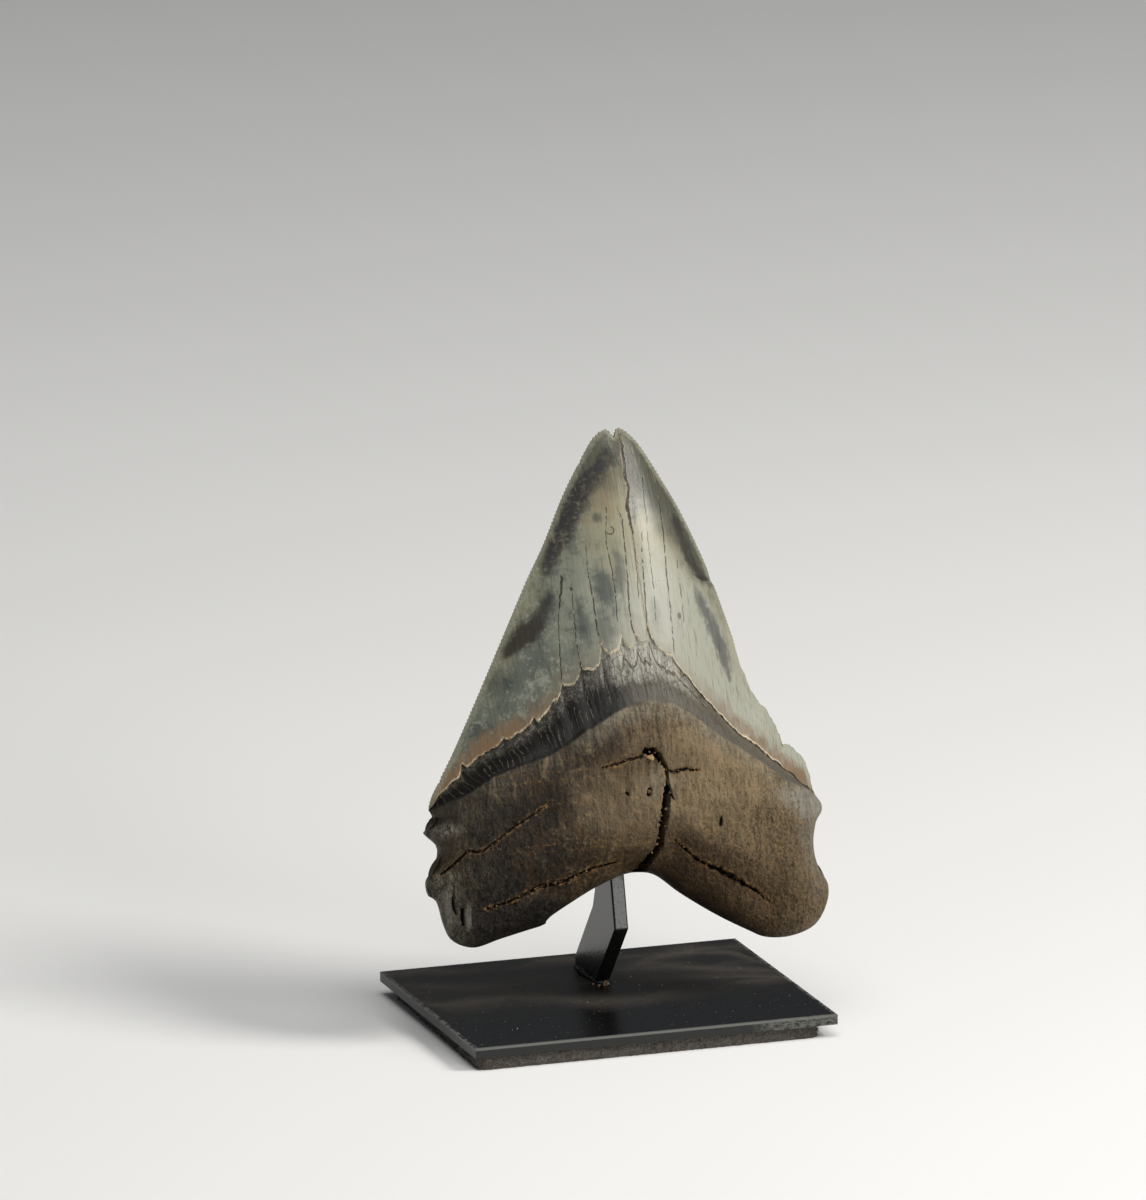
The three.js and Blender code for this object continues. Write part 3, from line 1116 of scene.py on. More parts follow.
@dataclass
class Post:
    """The bent steel bar that stands on the plate and carries the tooth."""

    thickness: float = 3.0
    foot: tuple[float, float] = (7.6, 20.2)
    heel: float = 2.6
    kink_front: Point = (-4.0, 14.0)
    kink_back: Point = (9.5, 15.8)
    waist_back: Point = (7.9, 20.5)
    upper_length: float = 27.0
    tip_depth: float = 3.4
    edge: float = 0.38

    def build(self) -> bpy.types.Object:
        """Models the post from its side view.

        Returns:
            The object.
        """
        low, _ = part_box("post")
        plate_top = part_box("base_plate")[1].z / MM
        lean = ToothFrame.LEAN
        top = (self.kink_front[0] + self.upper_length * math.sin(lean),
               self.kink_front[1] + self.upper_length * math.cos(lean))
        side = [
            (self.foot[0], 0.1), (self.foot[1], 0.1), (self.foot[1], self.heel), self.kink_back,
            self.waist_back, (top[0] + self.tip_depth, top[1] - 0.6), top, self.kink_front]
        bpy.ops.mesh.primitive_circle_add(vertices=len(side), fill_type="NGON")
        post = bpy.context.object
        place_corners(post, np.array([(low.x / MM, y, plate_top + z) for y, z in side]) * MM)
        with editing(post):
            bpy.ops.mesh.extrude_region_move(
                TRANSFORM_OT_translate={"value": (self.thickness * MM, 0, 0)})
            bpy.ops.mesh.select_all(action="SELECT")
            bpy.ops.mesh.normals_make_consistent(inside=False)
        apply_modifier(post, "BEVEL", width=self.edge * MM, segments=5, limit_method="ANGLE",
                       angle_limit=math.radians(12))
        pick(post)
        bpy.ops.object.shade_smooth()
        apply_modifier(post, "WEIGHTED_NORMAL", weight=100)
        return post


@dataclass
class Weld:
    """The dark rough bead around the post's foot."""

    radius: float = 0.85
    ring: float = 4.0
    turns: int = 96
    around: int = 14

    def build(self, post: Post) -> bpy.types.Object:
        """Bends a ring round the foot and roughens it.

        Args:
            post: The post that it runs round.

        Returns:
            The object.
        """
        low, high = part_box("post")
        plate_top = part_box("base_plate")[1].z / MM
        middle_x = (low.x + high.x) / 2 / MM
        bpy.ops.mesh.primitive_torus_add(
            major_segments=self.turns, minor_segments=self.around, major_radius=self.ring,
            minor_radius=1)
        bead = bpy.context.object
        ring = corners_of(bead)
        turn = np.arctan2(ring[:, 1], ring[:, 0])
        out = np.hypot(ring[:, 0], ring[:, 1]) - self.ring
        noise = Roughness2D(31)
        fat = self.radius * (1 + 0.35 * noise.layers(turn * 7 + 50, out * 0, 3) + 0.12 * np.cos(turn * 26))
        half_x, half_y = post.thickness / 2, (post.foot[1] - post.foot[0]) / 2
        square = np.maximum(np.abs(np.cos(turn)) / half_x, np.abs(np.sin(turn)) / half_y)
        reach = 1 / square + out * fat
        rough = 0.12 * noise.layers(ring[:, 0] * 3, ring[:, 1] * 3 + ring[:, 2] * 5, 2)
        places = np.column_stack([
            middle_x + np.cos(turn) * (reach + rough),
            sum(post.foot) / 2 + np.sin(turn) * (reach + rough),
            plate_top + 0.05 + np.maximum(ring[:, 2], -0.05) * fat * 0.9])
        place_corners(bead, places * MM)
        pick(bead)
        bpy.ops.object.shade_smooth()
        return bead


@dataclass
class Plate:
    """The painted steel plate with worn edges."""

    edge: float = 0.34
    cuts: int = 74
    scuffed: Point = (20.0, 27.0)
    bite: float = 0.35

    def build(self) -> bpy.types.Object:
        """Models the plate and wears its edges.

        Returns:
            The object.
        """
        low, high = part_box("base_plate")
        bpy.ops.mesh.primitive_cube_add(size=1, location=(low + high) / 2, scale=high - low)
        plate = bpy.context.object
        settle(plate)
        with editing(plate):
            bpy.ops.mesh.subdivide(number_cuts=self.cuts)
        apply_modifier(plate, "BEVEL", width=self.edge * MM, segments=3, limit_method="ANGLE",
                       angle_limit=math.radians(40))
        places = corners_of(plate) / MM
        x, y, z = places.T
        box_low, box_high = np.array(low) / MM, np.array(high) / MM
        noise = Roughness2D(47)
        to_front, to_top = y - box_low[1], box_high[2] - z
        worn = smooth_step(x, *self.scuffed) * np.maximum(noise.layers(x * 1.1, z * 0.9, 3), 0)
        bite = worn * (1 - smooth_step(to_front, 0, 0.9)) * (1 - smooth_step(to_top, 0, 1.2))
        all_over = 0.05 * noise.layers(x * 0.7, z * 0.7 + y * 0.7, 2) * (1 - smooth_step(to_top, 0, 0.6))
        places[:, 2] -= self.bite * bite
        places[:, 1] += (0.3 * bite + all_over) * (to_front < 1.0)
        place_corners(plate, places * MM)
        pick(plate)
        bpy.ops.object.shade_smooth_by_angle(angle=math.radians(35))
        return plate


@dataclass
class Felt:
    """The felt under the plate, with loose fibres along its cut edge."""

    corners: tuple[Point, ...] = ((-37.4, -29.6), (34.6, -29.2), (34.2, 26.2), (-35.9, 26.0))
    corner_radius: float = 2.2
    half_size: float = 33.0
    cuts: int = 58
    fibres: int = 5200
    fibre_width: float = 0.05
    fibre_length: Point = (0.25, 0.9)

    def _outline(self, u: np.ndarray, v: np.ndarray) -> np.ndarray:
        """Maps a square of -1 to 1 onto the felt's outline, its corners rounded.

        Args:
            u: Places across, -1 to 1.
            v: Places from front to back, -1 to 1.

        Returns:
            One point in each row, in millimetres.
        """
        share = self.corner_radius / self.half_size
        over_u, over_v = np.abs(u) - (1 - share), np.abs(v) - (1 - share)
        in_corner = (over_u > 0) & (over_v > 0)
        size = np.maximum(np.hypot(over_u, over_v), 1e-9)
        pull = np.where(in_corner, np.maximum(over_u, over_v) / size, 1)
        u = np.where(in_corner, np.sign(u) * (1 - share + over_u * pull), u)
        v = np.where(in_corner, np.sign(v) * (1 - share + over_v * pull), v)
        c = np.array(self.corners)
        s, t = ((u + 1) / 2)[:, None], ((v + 1) / 2)[:, None]
        return c[0] * (1 - s) * (1 - t) + c[1] * s * (1 - t) + c[2] * s * t + c[3] * (1 - s) * t

    def build(self) -> bpy.types.Object:
        """Models the pad itself.

        Returns:
            The object.
        """
        low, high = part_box("felt_pad")
        bpy.ops.mesh.primitive_cube_add(size=2)
        felt = bpy.context.object
        with editing(felt):
            bpy.ops.mesh.subdivide(number_cuts=self.cuts)
        unit = corners_of(felt)
        flat = self._outline(unit[:, 0], unit[:, 1])
        noise = Roughness2D(59)
        edge = np.maximum(np.abs(unit[:, 0]), np.abs(unit[:, 1])) > 0.999
        around = np.arctan2(flat[:, 1], flat[:, 0]) * 60
        sag = 0.1 + 0.14 * unit[:, 2] ** 2 + 0.1 * noise.layers(around, unit[:, 2], 3)
        flat = flat * np.where(edge, 1 - sag / self.half_size, 1)[:, None]
        depth = low.z + (unit[:, 2] + 1) / 2 * (high.z - low.z)
        place_corners(felt, np.column_stack([flat * MM, depth]))
        pick(felt)
        bpy.ops.object.shade_smooth_by_angle(angle=math.radians(40))
        return felt

    def build_fibres(self) -> bpy.types.Object:
        """Models the loose fibres as one joined mesh.

        Returns:
            The object.
        """
        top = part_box("felt_pad")[1].z / MM
        draw = np.random.default_rng(61)
        count = self.fibres
        side = draw.integers(0, 4, count)
        side = np.where(draw.random(count) < 0.3, 0, side)
        along = draw.uniform(-1, 1, count)
        u = np.choose(side, [along, np.ones(count), along, -np.ones(count)])
        v = np.choose(side, [-np.ones(count), along, np.ones(count), along])
        start = np.column_stack([self._outline(u, v), draw.uniform(0.12, top - 0.1, count)])
        out = np.array([(0, -1), (1, 0), (0, 1), (-1, 0)])[side]
        start[:, :2] -= out * 0.22
        lengthwise = np.column_stack([-out[:, 1], out[:, 0]])
        places, faces = [], []
        length = draw.uniform(*self.fibre_length, count)
        slant = draw.normal(0, 1.0, count)
        rise = draw.normal(0, 0.45, count)
        droop = draw.uniform(-0.35, 0.2, count)
        for k in range(count):
            first = len(places)
            for i, share in enumerate((0.0, 0.4, 0.75, 1.0)):
                reach = length[k] * share
                bow = math.sin(share * math.pi / 2)
                middle = start[k] + np.array([
                    *(out[k] * bow * 0.38 + lengthwise[k] * slant[k] * reach * 0.8),
                    rise[k] * reach + droop[k] * reach * reach])
                middle[2] = min(max(middle[2], 0.05), top - 0.02)
                wide = self.fibre_width * (1 - 0.5 * share)
                places += [middle + (wide, 0, 0), middle + (-wide / 2, wide * 0.6, wide * 0.6),
                           middle + (-wide / 2, -wide * 0.6, -wide * 0.6)]
                if i:
                    at = first + 3 * (i - 1)
                    faces += [(at + n, at + (n + 1) % 3, at + 3 + (n + 1) % 3, at + 3 + n)
                              for n in range(3)]
            faces += [(first, first + 2, first + 1), (first + 9, first + 10, first + 11)]
        fibres = new_mesh("felt_fibres", np.array(places), faces)
        with editing(fibres):
            bpy.ops.mesh.normals_make_consistent(inside=False)
        bpy.ops.object.shade_smooth()
        return fibres


@dataclass
class Epoxy:
    """The bead that beds the root's back on the post."""

    width: float = 9.0
    height: float = 13.0
    bottom: float = 1.5

    def build(self, place: ToothFrame) -> bpy.types.Object:
        """Models the bead as a flattened, uneven drop.

        Args:
            place: The tooth's frame.

        Returns:
            The object.
        """
        bpy.ops.mesh.primitive_ico_sphere_add(subdivisions=5, radius=1)
        bead = bpy.context.object
        unit = corners_of(bead)
        noise = Roughness2D(71)
        swell = 1 + 0.08 * noise.layers(unit[:, 0] * 2.5 + 9, unit[:, 1] * 2.5 + unit[:, 2], 3)
        places = np.column_stack([
            0.6 + unit[:, 0] * self.width / 2 * swell,
            self.bottom + self.height / 2 + unit[:, 1] * self.height / 2 * swell,
            0.1 + np.where(unit[:, 2] > 0, 0.6, 3.2 * swell) * unit[:, 2]])
        place_corners(bead, place.to_model(places))
        pick(bead)
        bpy.ops.object.shade_smooth()
        return bead


@dataclass
class Grains:
    """Small stones and crumbs, joined into one mesh."""

    seed: int

    def _stone(self, draw: np.random.Generator, ball: np.ndarray, size: float) -> np.ndarray:
        """One ragged stone about 0, 0, 0.

        Args:
            draw: The random draws.
            ball: The round stone's vertices.
            size: The stone's width.

        Returns:
            Its vertices.
        """
        shape = ball * draw.uniform(0.6, 1.2, 3)
        push = draw.normal(0, 1, (8, 3))
        for direction in push:
            direction = direction / np.linalg.norm(direction)
            depth = ball @ direction
            shape = shape - np.outer(np.maximum(depth - draw.uniform(0.25, 0.6), 0), direction)
        return shape * size / 2

    def build(self, name: str, centres: np.ndarray, sizes: np.ndarray) -> bpy.types.Object:
        """Builds the joined mesh.

        Args:
            name: The object's name.
            centres: Where the stones lie, in millimetres of the model.
            sizes: Their widths in millimetres.

        Returns:
            The object.
        """
        draw = np.random.default_rng(self.seed)
        bpy.ops.mesh.primitive_ico_sphere_add(subdivisions=2, radius=1)
        pattern = bpy.context.object
        ball = corners_of(pattern)
        faces = np.array([tuple(face.vertices) for face in pattern.data.polygons])
        bpy.data.objects.remove(pattern, do_unlink=True)
        places = np.vstack([centre + self._stone(draw, ball, size)
                            for centre, size in zip(centres, sizes)])
        every = np.vstack([faces + len(ball) * k for k in range(len(sizes))])
        grains = new_mesh(name, places, every.tolist())
        store(grains, "shade", np.repeat(draw.random(len(sizes)), len(ball)))
        pick(grains)
        bpy.ops.object.shade_smooth_by_angle(angle=math.radians(18))
        return grains


# ---- finishes


def srgb(red: float, green: float, blue: float) -> Colour:
    """A display colour of 0 to 255 as the linear colour that shaders take."""
    return tuple(((v / 255 + 0.055) / 1.055) ** 2.4 if v > 10 else v / 255 / 12.92
                 for v in (red, green, blue))


@dataclass(frozen=True)
class CrownColours:
    """The enamel's colours."""

    pale: Colour = srgb(150, 150, 136)
    green_grey: Colour = srgb(118, 121, 107)
    cream: Colour = srgb(134, 129, 102)
    # Partly painted shade: the darker tip.
    tip: Colour = srgb(72, 73, 62)
    lower_left: Colour = srgb(88, 93, 84)
    mottle: Colour = srgb(42, 40, 41)
    brown: Colour = srgb(53, 46, 38)
    mist: Colour = srgb(54, 60, 60)
    streak: Colour = srgb(46, 41, 38)
    grey_streak: Colour = srgb(82, 82, 80)
    tan: Colour = srgb(126, 99, 71)
    warm: Colour = srgb(118, 98, 74)
    edge: Colour = srgb(150, 149, 129)
    crack: Colour = srgb(24, 20, 16)
    crack_edge: Colour = srgb(138, 122, 96)
    lip: Colour = srgb(196, 180, 150)


@dataclass(frozen=True)
class RootColours:
    """The colours of the root and of the bourlette above it."""

    # Partly painted shade: the bourlette's dark upper left.
    hollow: Colour = srgb(8, 6, 4)
    band_left: Colour = srgb(50, 47, 42)
    band_centre: Colour = srgb(158, 156, 144)
    band_low: Colour = srgb(88, 84, 76)
    band_right: Colour = srgb(88, 82, 70)
    ridge: Colour = srgb(112, 106, 93)
    shoulder: Colour = srgb(126, 119, 102)
    upper: Colour = srgb(38, 31, 21)
    brown: Colour = srgb(76, 62, 43)
    warm: Colour = srgb(128, 111, 84)
    low: Colour = srgb(64, 46, 21)
    ochre: Colour = srgb(142, 112, 64)
    rust: Colour = srgb(92, 67, 35)
    pits: Colour = srgb(20, 14, 7)
    grey: Colour = srgb(138, 135, 124)
    left_grey: Colour = srgb(124, 118, 102)
    ashen: Colour = srgb(84, 79, 68)
    # Painted shade for the root's left side and for its underside.
    left_painted_shade: Colour = srgb(20, 15, 9)
    under: Colour = srgb(12, 8, 4)
    crack: Colour = srgb(10, 8, 6)
    crack_edge: Colour = srgb(150, 112, 66)


class FossilFinish:
    """The finish of the whole tooth, drawn in its own millimetres."""

    HAIRLINES: tuple[Course, ...] = (
        ((44.9, 4.0, -0.1), (45.6, 3.9, 0.2), (47.1, 3.5, 0.2), (49.0, 3.0, 0.18), (53.1, 3.1, 0.2),
         (58.7, 3.7, 0.18), (64.3, 4.1, 0.16), (67.6, 4.3, 0.18), (70.6, 4.5, 0.12), (72.1, 4.0, 0.08),
         (73.4, 3.9, -0.1)),
        ((49.6, 0.3, -0.1), (50.4, 0.3, 0.1), (55.2, 0.7, 0.14), (60.4, 0.8, 0.16), (65.7, 0.5, 0.1),
         (69.4, 1.0, 0.08), (72.7, 1.6, 0.14), (73.4, 1.7, -0.1)),
        ((43.9, -3.5, -0.1), (44.7, -3.6, 0.2), (48.9, -4.0, 0.22), (54.5, -3.8, 0.2),
         (58.2, -3.9, 0.16), (61.6, -3.8, 0.1), (65.3, -3.5, 0.06), (66.5, -3.4, -0.1)),
        ((39.8, -8.0, -0.1), (40.6, -8.1, 0.2), (44.8, -8.4, 0.18), (50.0, -8.1, 0.18),
         (54.8, -7.7, 0.12), (58.2, -7.4, 0.1), (59.0, -7.3, -0.1)),
        ((37.2, -12.3, -0.1), (38.0, -12.3, 0.18), (45.1, -11.7, 0.14), (51.7, -10.9, 0.12),
         (56.1, -9.8, 0.3), (57.6, -9.3, 0.4), (59.8, -8.9, 0.46), (60.6, -8.8, -0.1)),
        ((48.8, 6.3, -0.1), (49.5, 6.3, 0.12), (51.0, 6.5, 0.14), (57.3, 7.0, 0.18), (64.0, 7.6, 0.18),
         (67.3, 8.2, 0.1), (68.0, 8.3, -0.1)),
        ((49.4, 8.4, -0.1), (50.1, 8.4, 0.08), (56.4, 9.0, 0.1), (62.0, 9.1, 0.1), (67.2, 9.4, 0.08),
         (68.0, 9.4, -0.1)),
        ((42.8, 11.6, -0.1), (43.5, 11.6, 0.12), (52.1, 12.1, 0.18), (58.8, 12.4, 0.18),
         (67.7, 13.2, 0.2), (72.9, 13.4, 0.1), (73.6, 13.4, -0.1)),
        ((68.6, 9.7, -0.1), (69.4, 9.8, 0.1), (73.2, 9.9, 0.14), (78.0, 10.4, 0.08), (78.8, 10.5, -0.1)),
        ((48.2, 14.8, -0.1), (48.9, 14.8, 0.06), (54.1, 15.2, 0.1), (58.6, 15.3, 0.08),
         (61.5, 15.4, 0.06), (62.4, 15.4, -0.1)),
        ((54.0, 5.4, -0.1), (54.8, 5.4, 0.08), (58.5, 5.8, 0.1), (63.0, 6.0, 0.12), (66.0, 6.1, 0.16),
         (67.5, 6.2, -0.1)),
    )
    MAIN_CRACK: Course = (
        (66.4, 6.2, -0.1), (67.5, 6.2, 0.26), (69.0, 6.1, 0.36), (70.8, 6.0, 0.44), (73.1, 5.9, 0.6),
        (74.9, 6.5, 0.46), (76.7, 7.0, 0.3), (78.6, 6.6, 0.4), (81.2, 6.9, 0.4), (83.1, 7.0, 0.34),
        (84.8, 7.2, 0.3), (86.0, 7.1, 0.1), (87.2, 7.0, -0.1))
    FLAT_CRACKS: tuple[str, ...] = ("left", "right", "upper_left", "left_end", "left_lobe", "right_lobe")

    def __init__(self, place: ToothFrame) -> None:
        """Prepares the coordinates.

        Args:
            place: The tooth's frame.
        """
        self.s = Shader("fossil")
        s = self.s
        self.where = place.in_shader(s)
        self.a, self.b = s.part(self.where, 0), s.part(self.where, 1)
        self.front = s.attribute("display_side")
        self.above = s.attribute("above_enamel")
        self.over = s.attribute("above_shoulder")
        self.edge = s.attribute("from_edge")
        self.cloud = s.noise(self.where, 0.16, 4.0, 0.6) - 0.5
        self.grit = s.noise(self.where, 1.1, 3.0, 0.6) - 0.5
        self.grain = s.noise(self.where, 4.2, 2.0, 0.6) - 0.5

    def _blob(self, middle: Point, half_a: float, half_b: float, turn: float = 0.0,
              ragged: Value | float = 0.0, soft: float = 0.3) -> Value:
        """A soft oval patch with an uneven edge.

        Args:
            middle: Its centre.
            half_a: Its half width.
            half_b: Its half height.
            turn: Its turn in degrees.
            ragged: What makes its edge uneven.
            soft: How soft its edge is.

        Returns:
            1 inside it and 0 outside.
        """
        cosine, sine = math.cos(math.radians(turn)), math.sin(math.radians(turn))
        a, b = self.a - middle[0], self.b - middle[1]
        u, v = (a * cosine + b * sine) / half_a, (b * cosine - a * sine) / half_b
        far = (u * u + v * v) ** 0.5
        return self.s.step(far + ragged, 1 + soft, 1 - soft)

    def _crown(self) -> tuple[Value, Value]:
        """The enamel's colour, and its cracks.

        Returns:
            The colour, and the cracks' strength.
        """
        s, a, b, c = self.s, self.a, self.b, CrownColours()
        fibres = s.noise(s.scaled(self.where, 1.5, 0.08, 0.6), 1.0, 3.0, 0.6) - 0.5
        spots = s.noise(self.where, 0.42, 4.0, 0.62, 0.4) - 0.5
        small = s.noise(self.where, 1.5, 3.0, 0.62) - 0.5
        across = s.noise(s.scaled(self.where, 0.3, 1.1, 0.5), 1.0, 3.0, 0.6, 0.6) - 0.5
        colour = s.mix(s.step(a + self.cloud * 14 + spots * 6 + fibres * 4, 5.5, -7.5), c.pale, c.green_grey)
        low_left = s.step(b + a * 0.3 + self.cloud * 18, 52.0, 34.0) * s.step(a + spots * 8, -3.0, -10.0)
        colour = s.mix(low_left * 0.8, colour, c.lower_left)
        cream = s.step(b + self.cloud * 16 + spots * 6, 54.0, 68.0) * s.step(a + spots * 7, -8.0, 2.0)
        colour = s.mix(cream * 0.8, colour, c.cream)
        rim_cream = s.step(self.edge + self.cloud * 8 + spots * 3, 5.0, 1.0) * s.step(b, 30.0, 44.0)
        colour = s.mix(rim_cream * 0.45, colour, c.cream)
        for middle, half_a, half_b, much in (((1.0, 77.0), 3.2, 5.5, 0.5), ((15.2, 75.6), 1.6, 3.6, 0.6),
                                             ((15.8, 66.0), 1.4, 4.0, 0.35), ((-3.0, 70.8), 1.8, 1.2, 0.4),
                                             ((12.0, 76.5), 3.0, 3.5, 0.25)):
            colour = s.mix(self._blob(middle, half_a, half_b, 0, spots * 2.0, 0.7) * much, colour, c.warm)
        # Darker towards the tip: partly the tip's own grey-green, partly painted shade where the light falls
        # off; the multiply on the tip's right is painted shade.
        tip = s.step(b + abs(a - 5.5) * 0.8 + (a - 5.5) * 0.6 + self.cloud * 10 + spots * 6, 73.0, 83.0)
        colour = s.mix(tip * 0.9, colour, c.tip)
        colour = s.mix(tip * s.step(a, 4.5, 7.5) * 0.5, colour, (0.5, 0.5, 0.46), "MULTIPLY")
        # Soft blue-grey clouds inside the enamel.
        for middle, half_a, half_b, turn, much in (
                ((-1.2, 57.0), 2.0, 4.4, 4, 0.75), ((2.2, 59.4), 1.1, 5.4, -4, 0.6),
                ((-6.4, 50.4), 1.1, 4.2, 4, 0.65), ((-2.4, 49.0), 1.8, 3.6, 0, 0.5),
                ((8.6, 51.0), 1.1, 3.4, 0, 0.3), ((-0.3, 71.2), 0.9, 0.9, 0, 0.6),
                ((-16.5, 43.6), 2.6, 3.4, -10, 0.3), ((-23.6, 39.9), 3.2, 2.2, 20, 0.4)):
            patch = self._blob(middle, half_a, half_b, turn, spots * 1.7 + fibres * 0.8, 0.6)
            colour = s.mix(patch * much, colour, c.mist)
        broad = s.noise(self.where, 0.24, 4.0, 0.66, 0.5) - 0.5
        speckled = s.step(broad + spots * 0.5 + small * 0.3, 0.0, 0.18) * s.step(a + spots * 10, 7.0, -8.0)
        colour = s.mix(speckled * 0.55, colour, c.mist)
        worn = s.step(small * 0.6 + spots * 0.8 - broad * 0.5, 0.0, 0.22) * s.step(a + b * 0.2, 8.0, -4.0)
        colour = s.mix(worn * 0.6, colour, c.pale)
        # The dark mottled band beside the left edge, and the brown patch below it.
        ragged = spots * 8.0 + small * 2.4 + across * 2.6
        band = s.trace(b, a, (
            (56.0, -14.0, -3.0), (60.0, -12.0, 1.0), (63.7, -10.3, 4.0), (66.5, -9.0, 5.4),
            (70.1, -6.9, 6.2), (75.1, -3.8, 5.4), (78.2, -1.4, 5.0), (80.9, 1.3, 4.6),
            (83.0, 3.4, 3.6), (86.0, 4.4, -1.0)), ragged, 1.5)
        band = band * (s.step(spots + small * 0.6 + across * 0.7, -0.34, 0.06) * 0.6 + 0.4)
        colour = s.mix(band * 0.94, colour, c.mottle)
        ragged = spots * 4.0 + small * 1.6
        patch = s.trace(b, a, (
            (44.0, -22.5, -3.0), (46.0, -20.2, 2.6), (47.6, -18.4, 5.0), (49.4, -16.8, 5.6),
            (51.6, -14.6, 5.0), (53.8, -13.0, 3.6), (56.2, -11.6, 2.4), (59.0, -10.8, -2.0)), ragged, 1.5)
        colour = s.mix(patch * 0.85, colour, c.mottle)
        warm = self._blob((-17.9, 48.4), 4.4, 2.0, 42, spots * 1.8 + small, 0.6)
        colour = s.mix(warm * patch * 0.8, colour, c.brown)
        # Streaks beside the right edge.
        dark = s.trace(b, a, (
            (56.4, 21.2, -1.4), (57.6, 20.8, 1.8), (60.5, 19.3, 2.3), (64.3, 18.0, 2.4),
            (67.4, 17.4, 2.2), (69.8, 16.7, 1.8), (71.6, 16.2, -1.2)), spots * 3.0 + small * 1.2, 0.6)
        colour = s.mix(dark * 0.86, colour, c.streak)
        hook = s.trace(a, b, ((20.0, 57.6, -0.4), (20.8, 57.5, 1.2), (22.4, 57.2, 1.1), (23.9, 57.6, 0.8),
                                  (24.6, 57.6, -0.2)), small, 0.3)
        colour = s.mix(hook * 0.9, colour, c.streak)
        grey = s.trace(b, a, (
            (35.5, 24.6, -2.0), (38.5, 24.4, 2.4), (41.2, 24.0, 3.2), (45.3, 23.0, 3.2),
            (49.6, 21.2, 3.0), (53.8, 19.4, 2.0), (57.0, 18.8, -1.4)), spots * 4.0 + fibres * 2, 1.0)
        colour = s.mix(grey * 0.85, colour, c.grey_streak)
        colour = s.mix(s.step(fibres, 0.02, 0.24) * s.step(a, 2.0, 9.0) * 0.2, colour, c.grey_streak)
        fine = s.step(s.noise(s.scaled(self.where, 3.4, 0.1, 1.0), 1.0, 2.0, 0.6), 0.56, 0.68)
        fine = fine * s.step(a + self.cloud * 8, 8.0, 15.0) * s.step(b, 64.0, 52.0)
        colour = s.mix(fine * 0.4, colour, c.streak)
        # Tan stain above the bourlette, and a pale worn rim.
        reach = s.step(self.above + self.cloud * 8 + fibres * 7 + spots * 5, 5.4, 0.2)
        stain = reach * (s.step(abs(a - 2), 10.0, 27.0) * 0.7 + 0.16)
        colour = s.mix(stain, colour, c.tan)
        colour = s.mix(reach * s.step(a, 12.0, 26.0) * 0.25, colour, c.brown)
        rim = s.step(self.edge + self.grit * 1.2 + spots, 1.3, 0.2)
        colour = s.mix(rim * 0.6, colour, c.edge)
        notch = s.step(s.maths("FRACT", s.attribute("along_edge") / 0.83), 0.62, 0.95)
        notch = notch * s.step(self.edge + small * 0.8, 0.8, 0.2)
        colour = s.mix(notch * 0.3, colour, c.streak)
        # Cracks: dark dotted lines, here and there with a tan stain beside them.
        wobble = (s.noise(s.scaled(self.where, 0.4, 0.9, 0.0), 1.0, 3.0, 0.6) - 0.5) * 0.6
        patchy = s.noise(s.scaled(self.where, 0.7, 0.55, 0.0), 1.0, 3.0, 0.6)
        gap = s.gap(b, a + wobble, self.HAIRLINES[0])
        for number, course in enumerate(self.HAIRLINES[1:]):
            gap = s.gap(b, a + wobble * (-1.0 if number % 2 else 1.0), course).at_most(gap)
        dotted = s.step(patchy + small * 0.8, 0.36, 0.52)
        cracks = s.step(gap, 0.07, -0.07) * dotted * 0.85
        stains = s.step(gap, 0.4, 0.05) * s.step(patchy, 0.52, 0.64)
        main_gap = s.gap(b, a + wobble + self.grit * 0.5, self.MAIN_CRACK)
        main = s.step(main_gap + small * 0.5, 0.12, -0.1)
        main_stain = s.step(main_gap + self.grit * 0.5, 0.6, 0.0)
        colour = s.mix(stains * 0.5, colour, c.crack_edge)
        colour = s.mix(main_stain * 0.55, colour, c.crack_edge)
        chip = s.trace(b, a, ((69.0, 7.0, -0.4), (70.4, 7.1, 1.0), (72.2, 7.5, 1.2), (74.8, 7.6, 1.1),
                                  (76.4, 7.4, -0.4)), self.grit * 1.6, 0.25)
        colour = s.mix(chip * 0.8, colour, c.mist)
        colour = s.mix(chip * s.step(self.grain, 0.0, 0.14) * 0.7, colour, c.edge)
        ring = abs(((a - 1.6) ** 2.0 + (b - 68.4) ** 2.0) ** 0.5 - 0.78 + self.grit * 0.2)
        mark = s.step(ring, 0.17, 0.06) * s.step(a - (b - 68.4) * 0.9, 0.9, 1.4)
        specks = self._blob((-7.6, 57.4), 0.32, 0.4, 0, small, 0.4).at_least(
            self._blob((14.0, 50.3), 0.4, 0.6, 0, small, 0.4))
        mark = mark.at_least(specks)
        colour = s.mix(mark * 0.7, colour, c.streak)
        cracks = cracks.at_least(main)
        colour = s.mix(cracks, colour, c.crack)
        return colour, cracks.at_least(mark * 0.4)

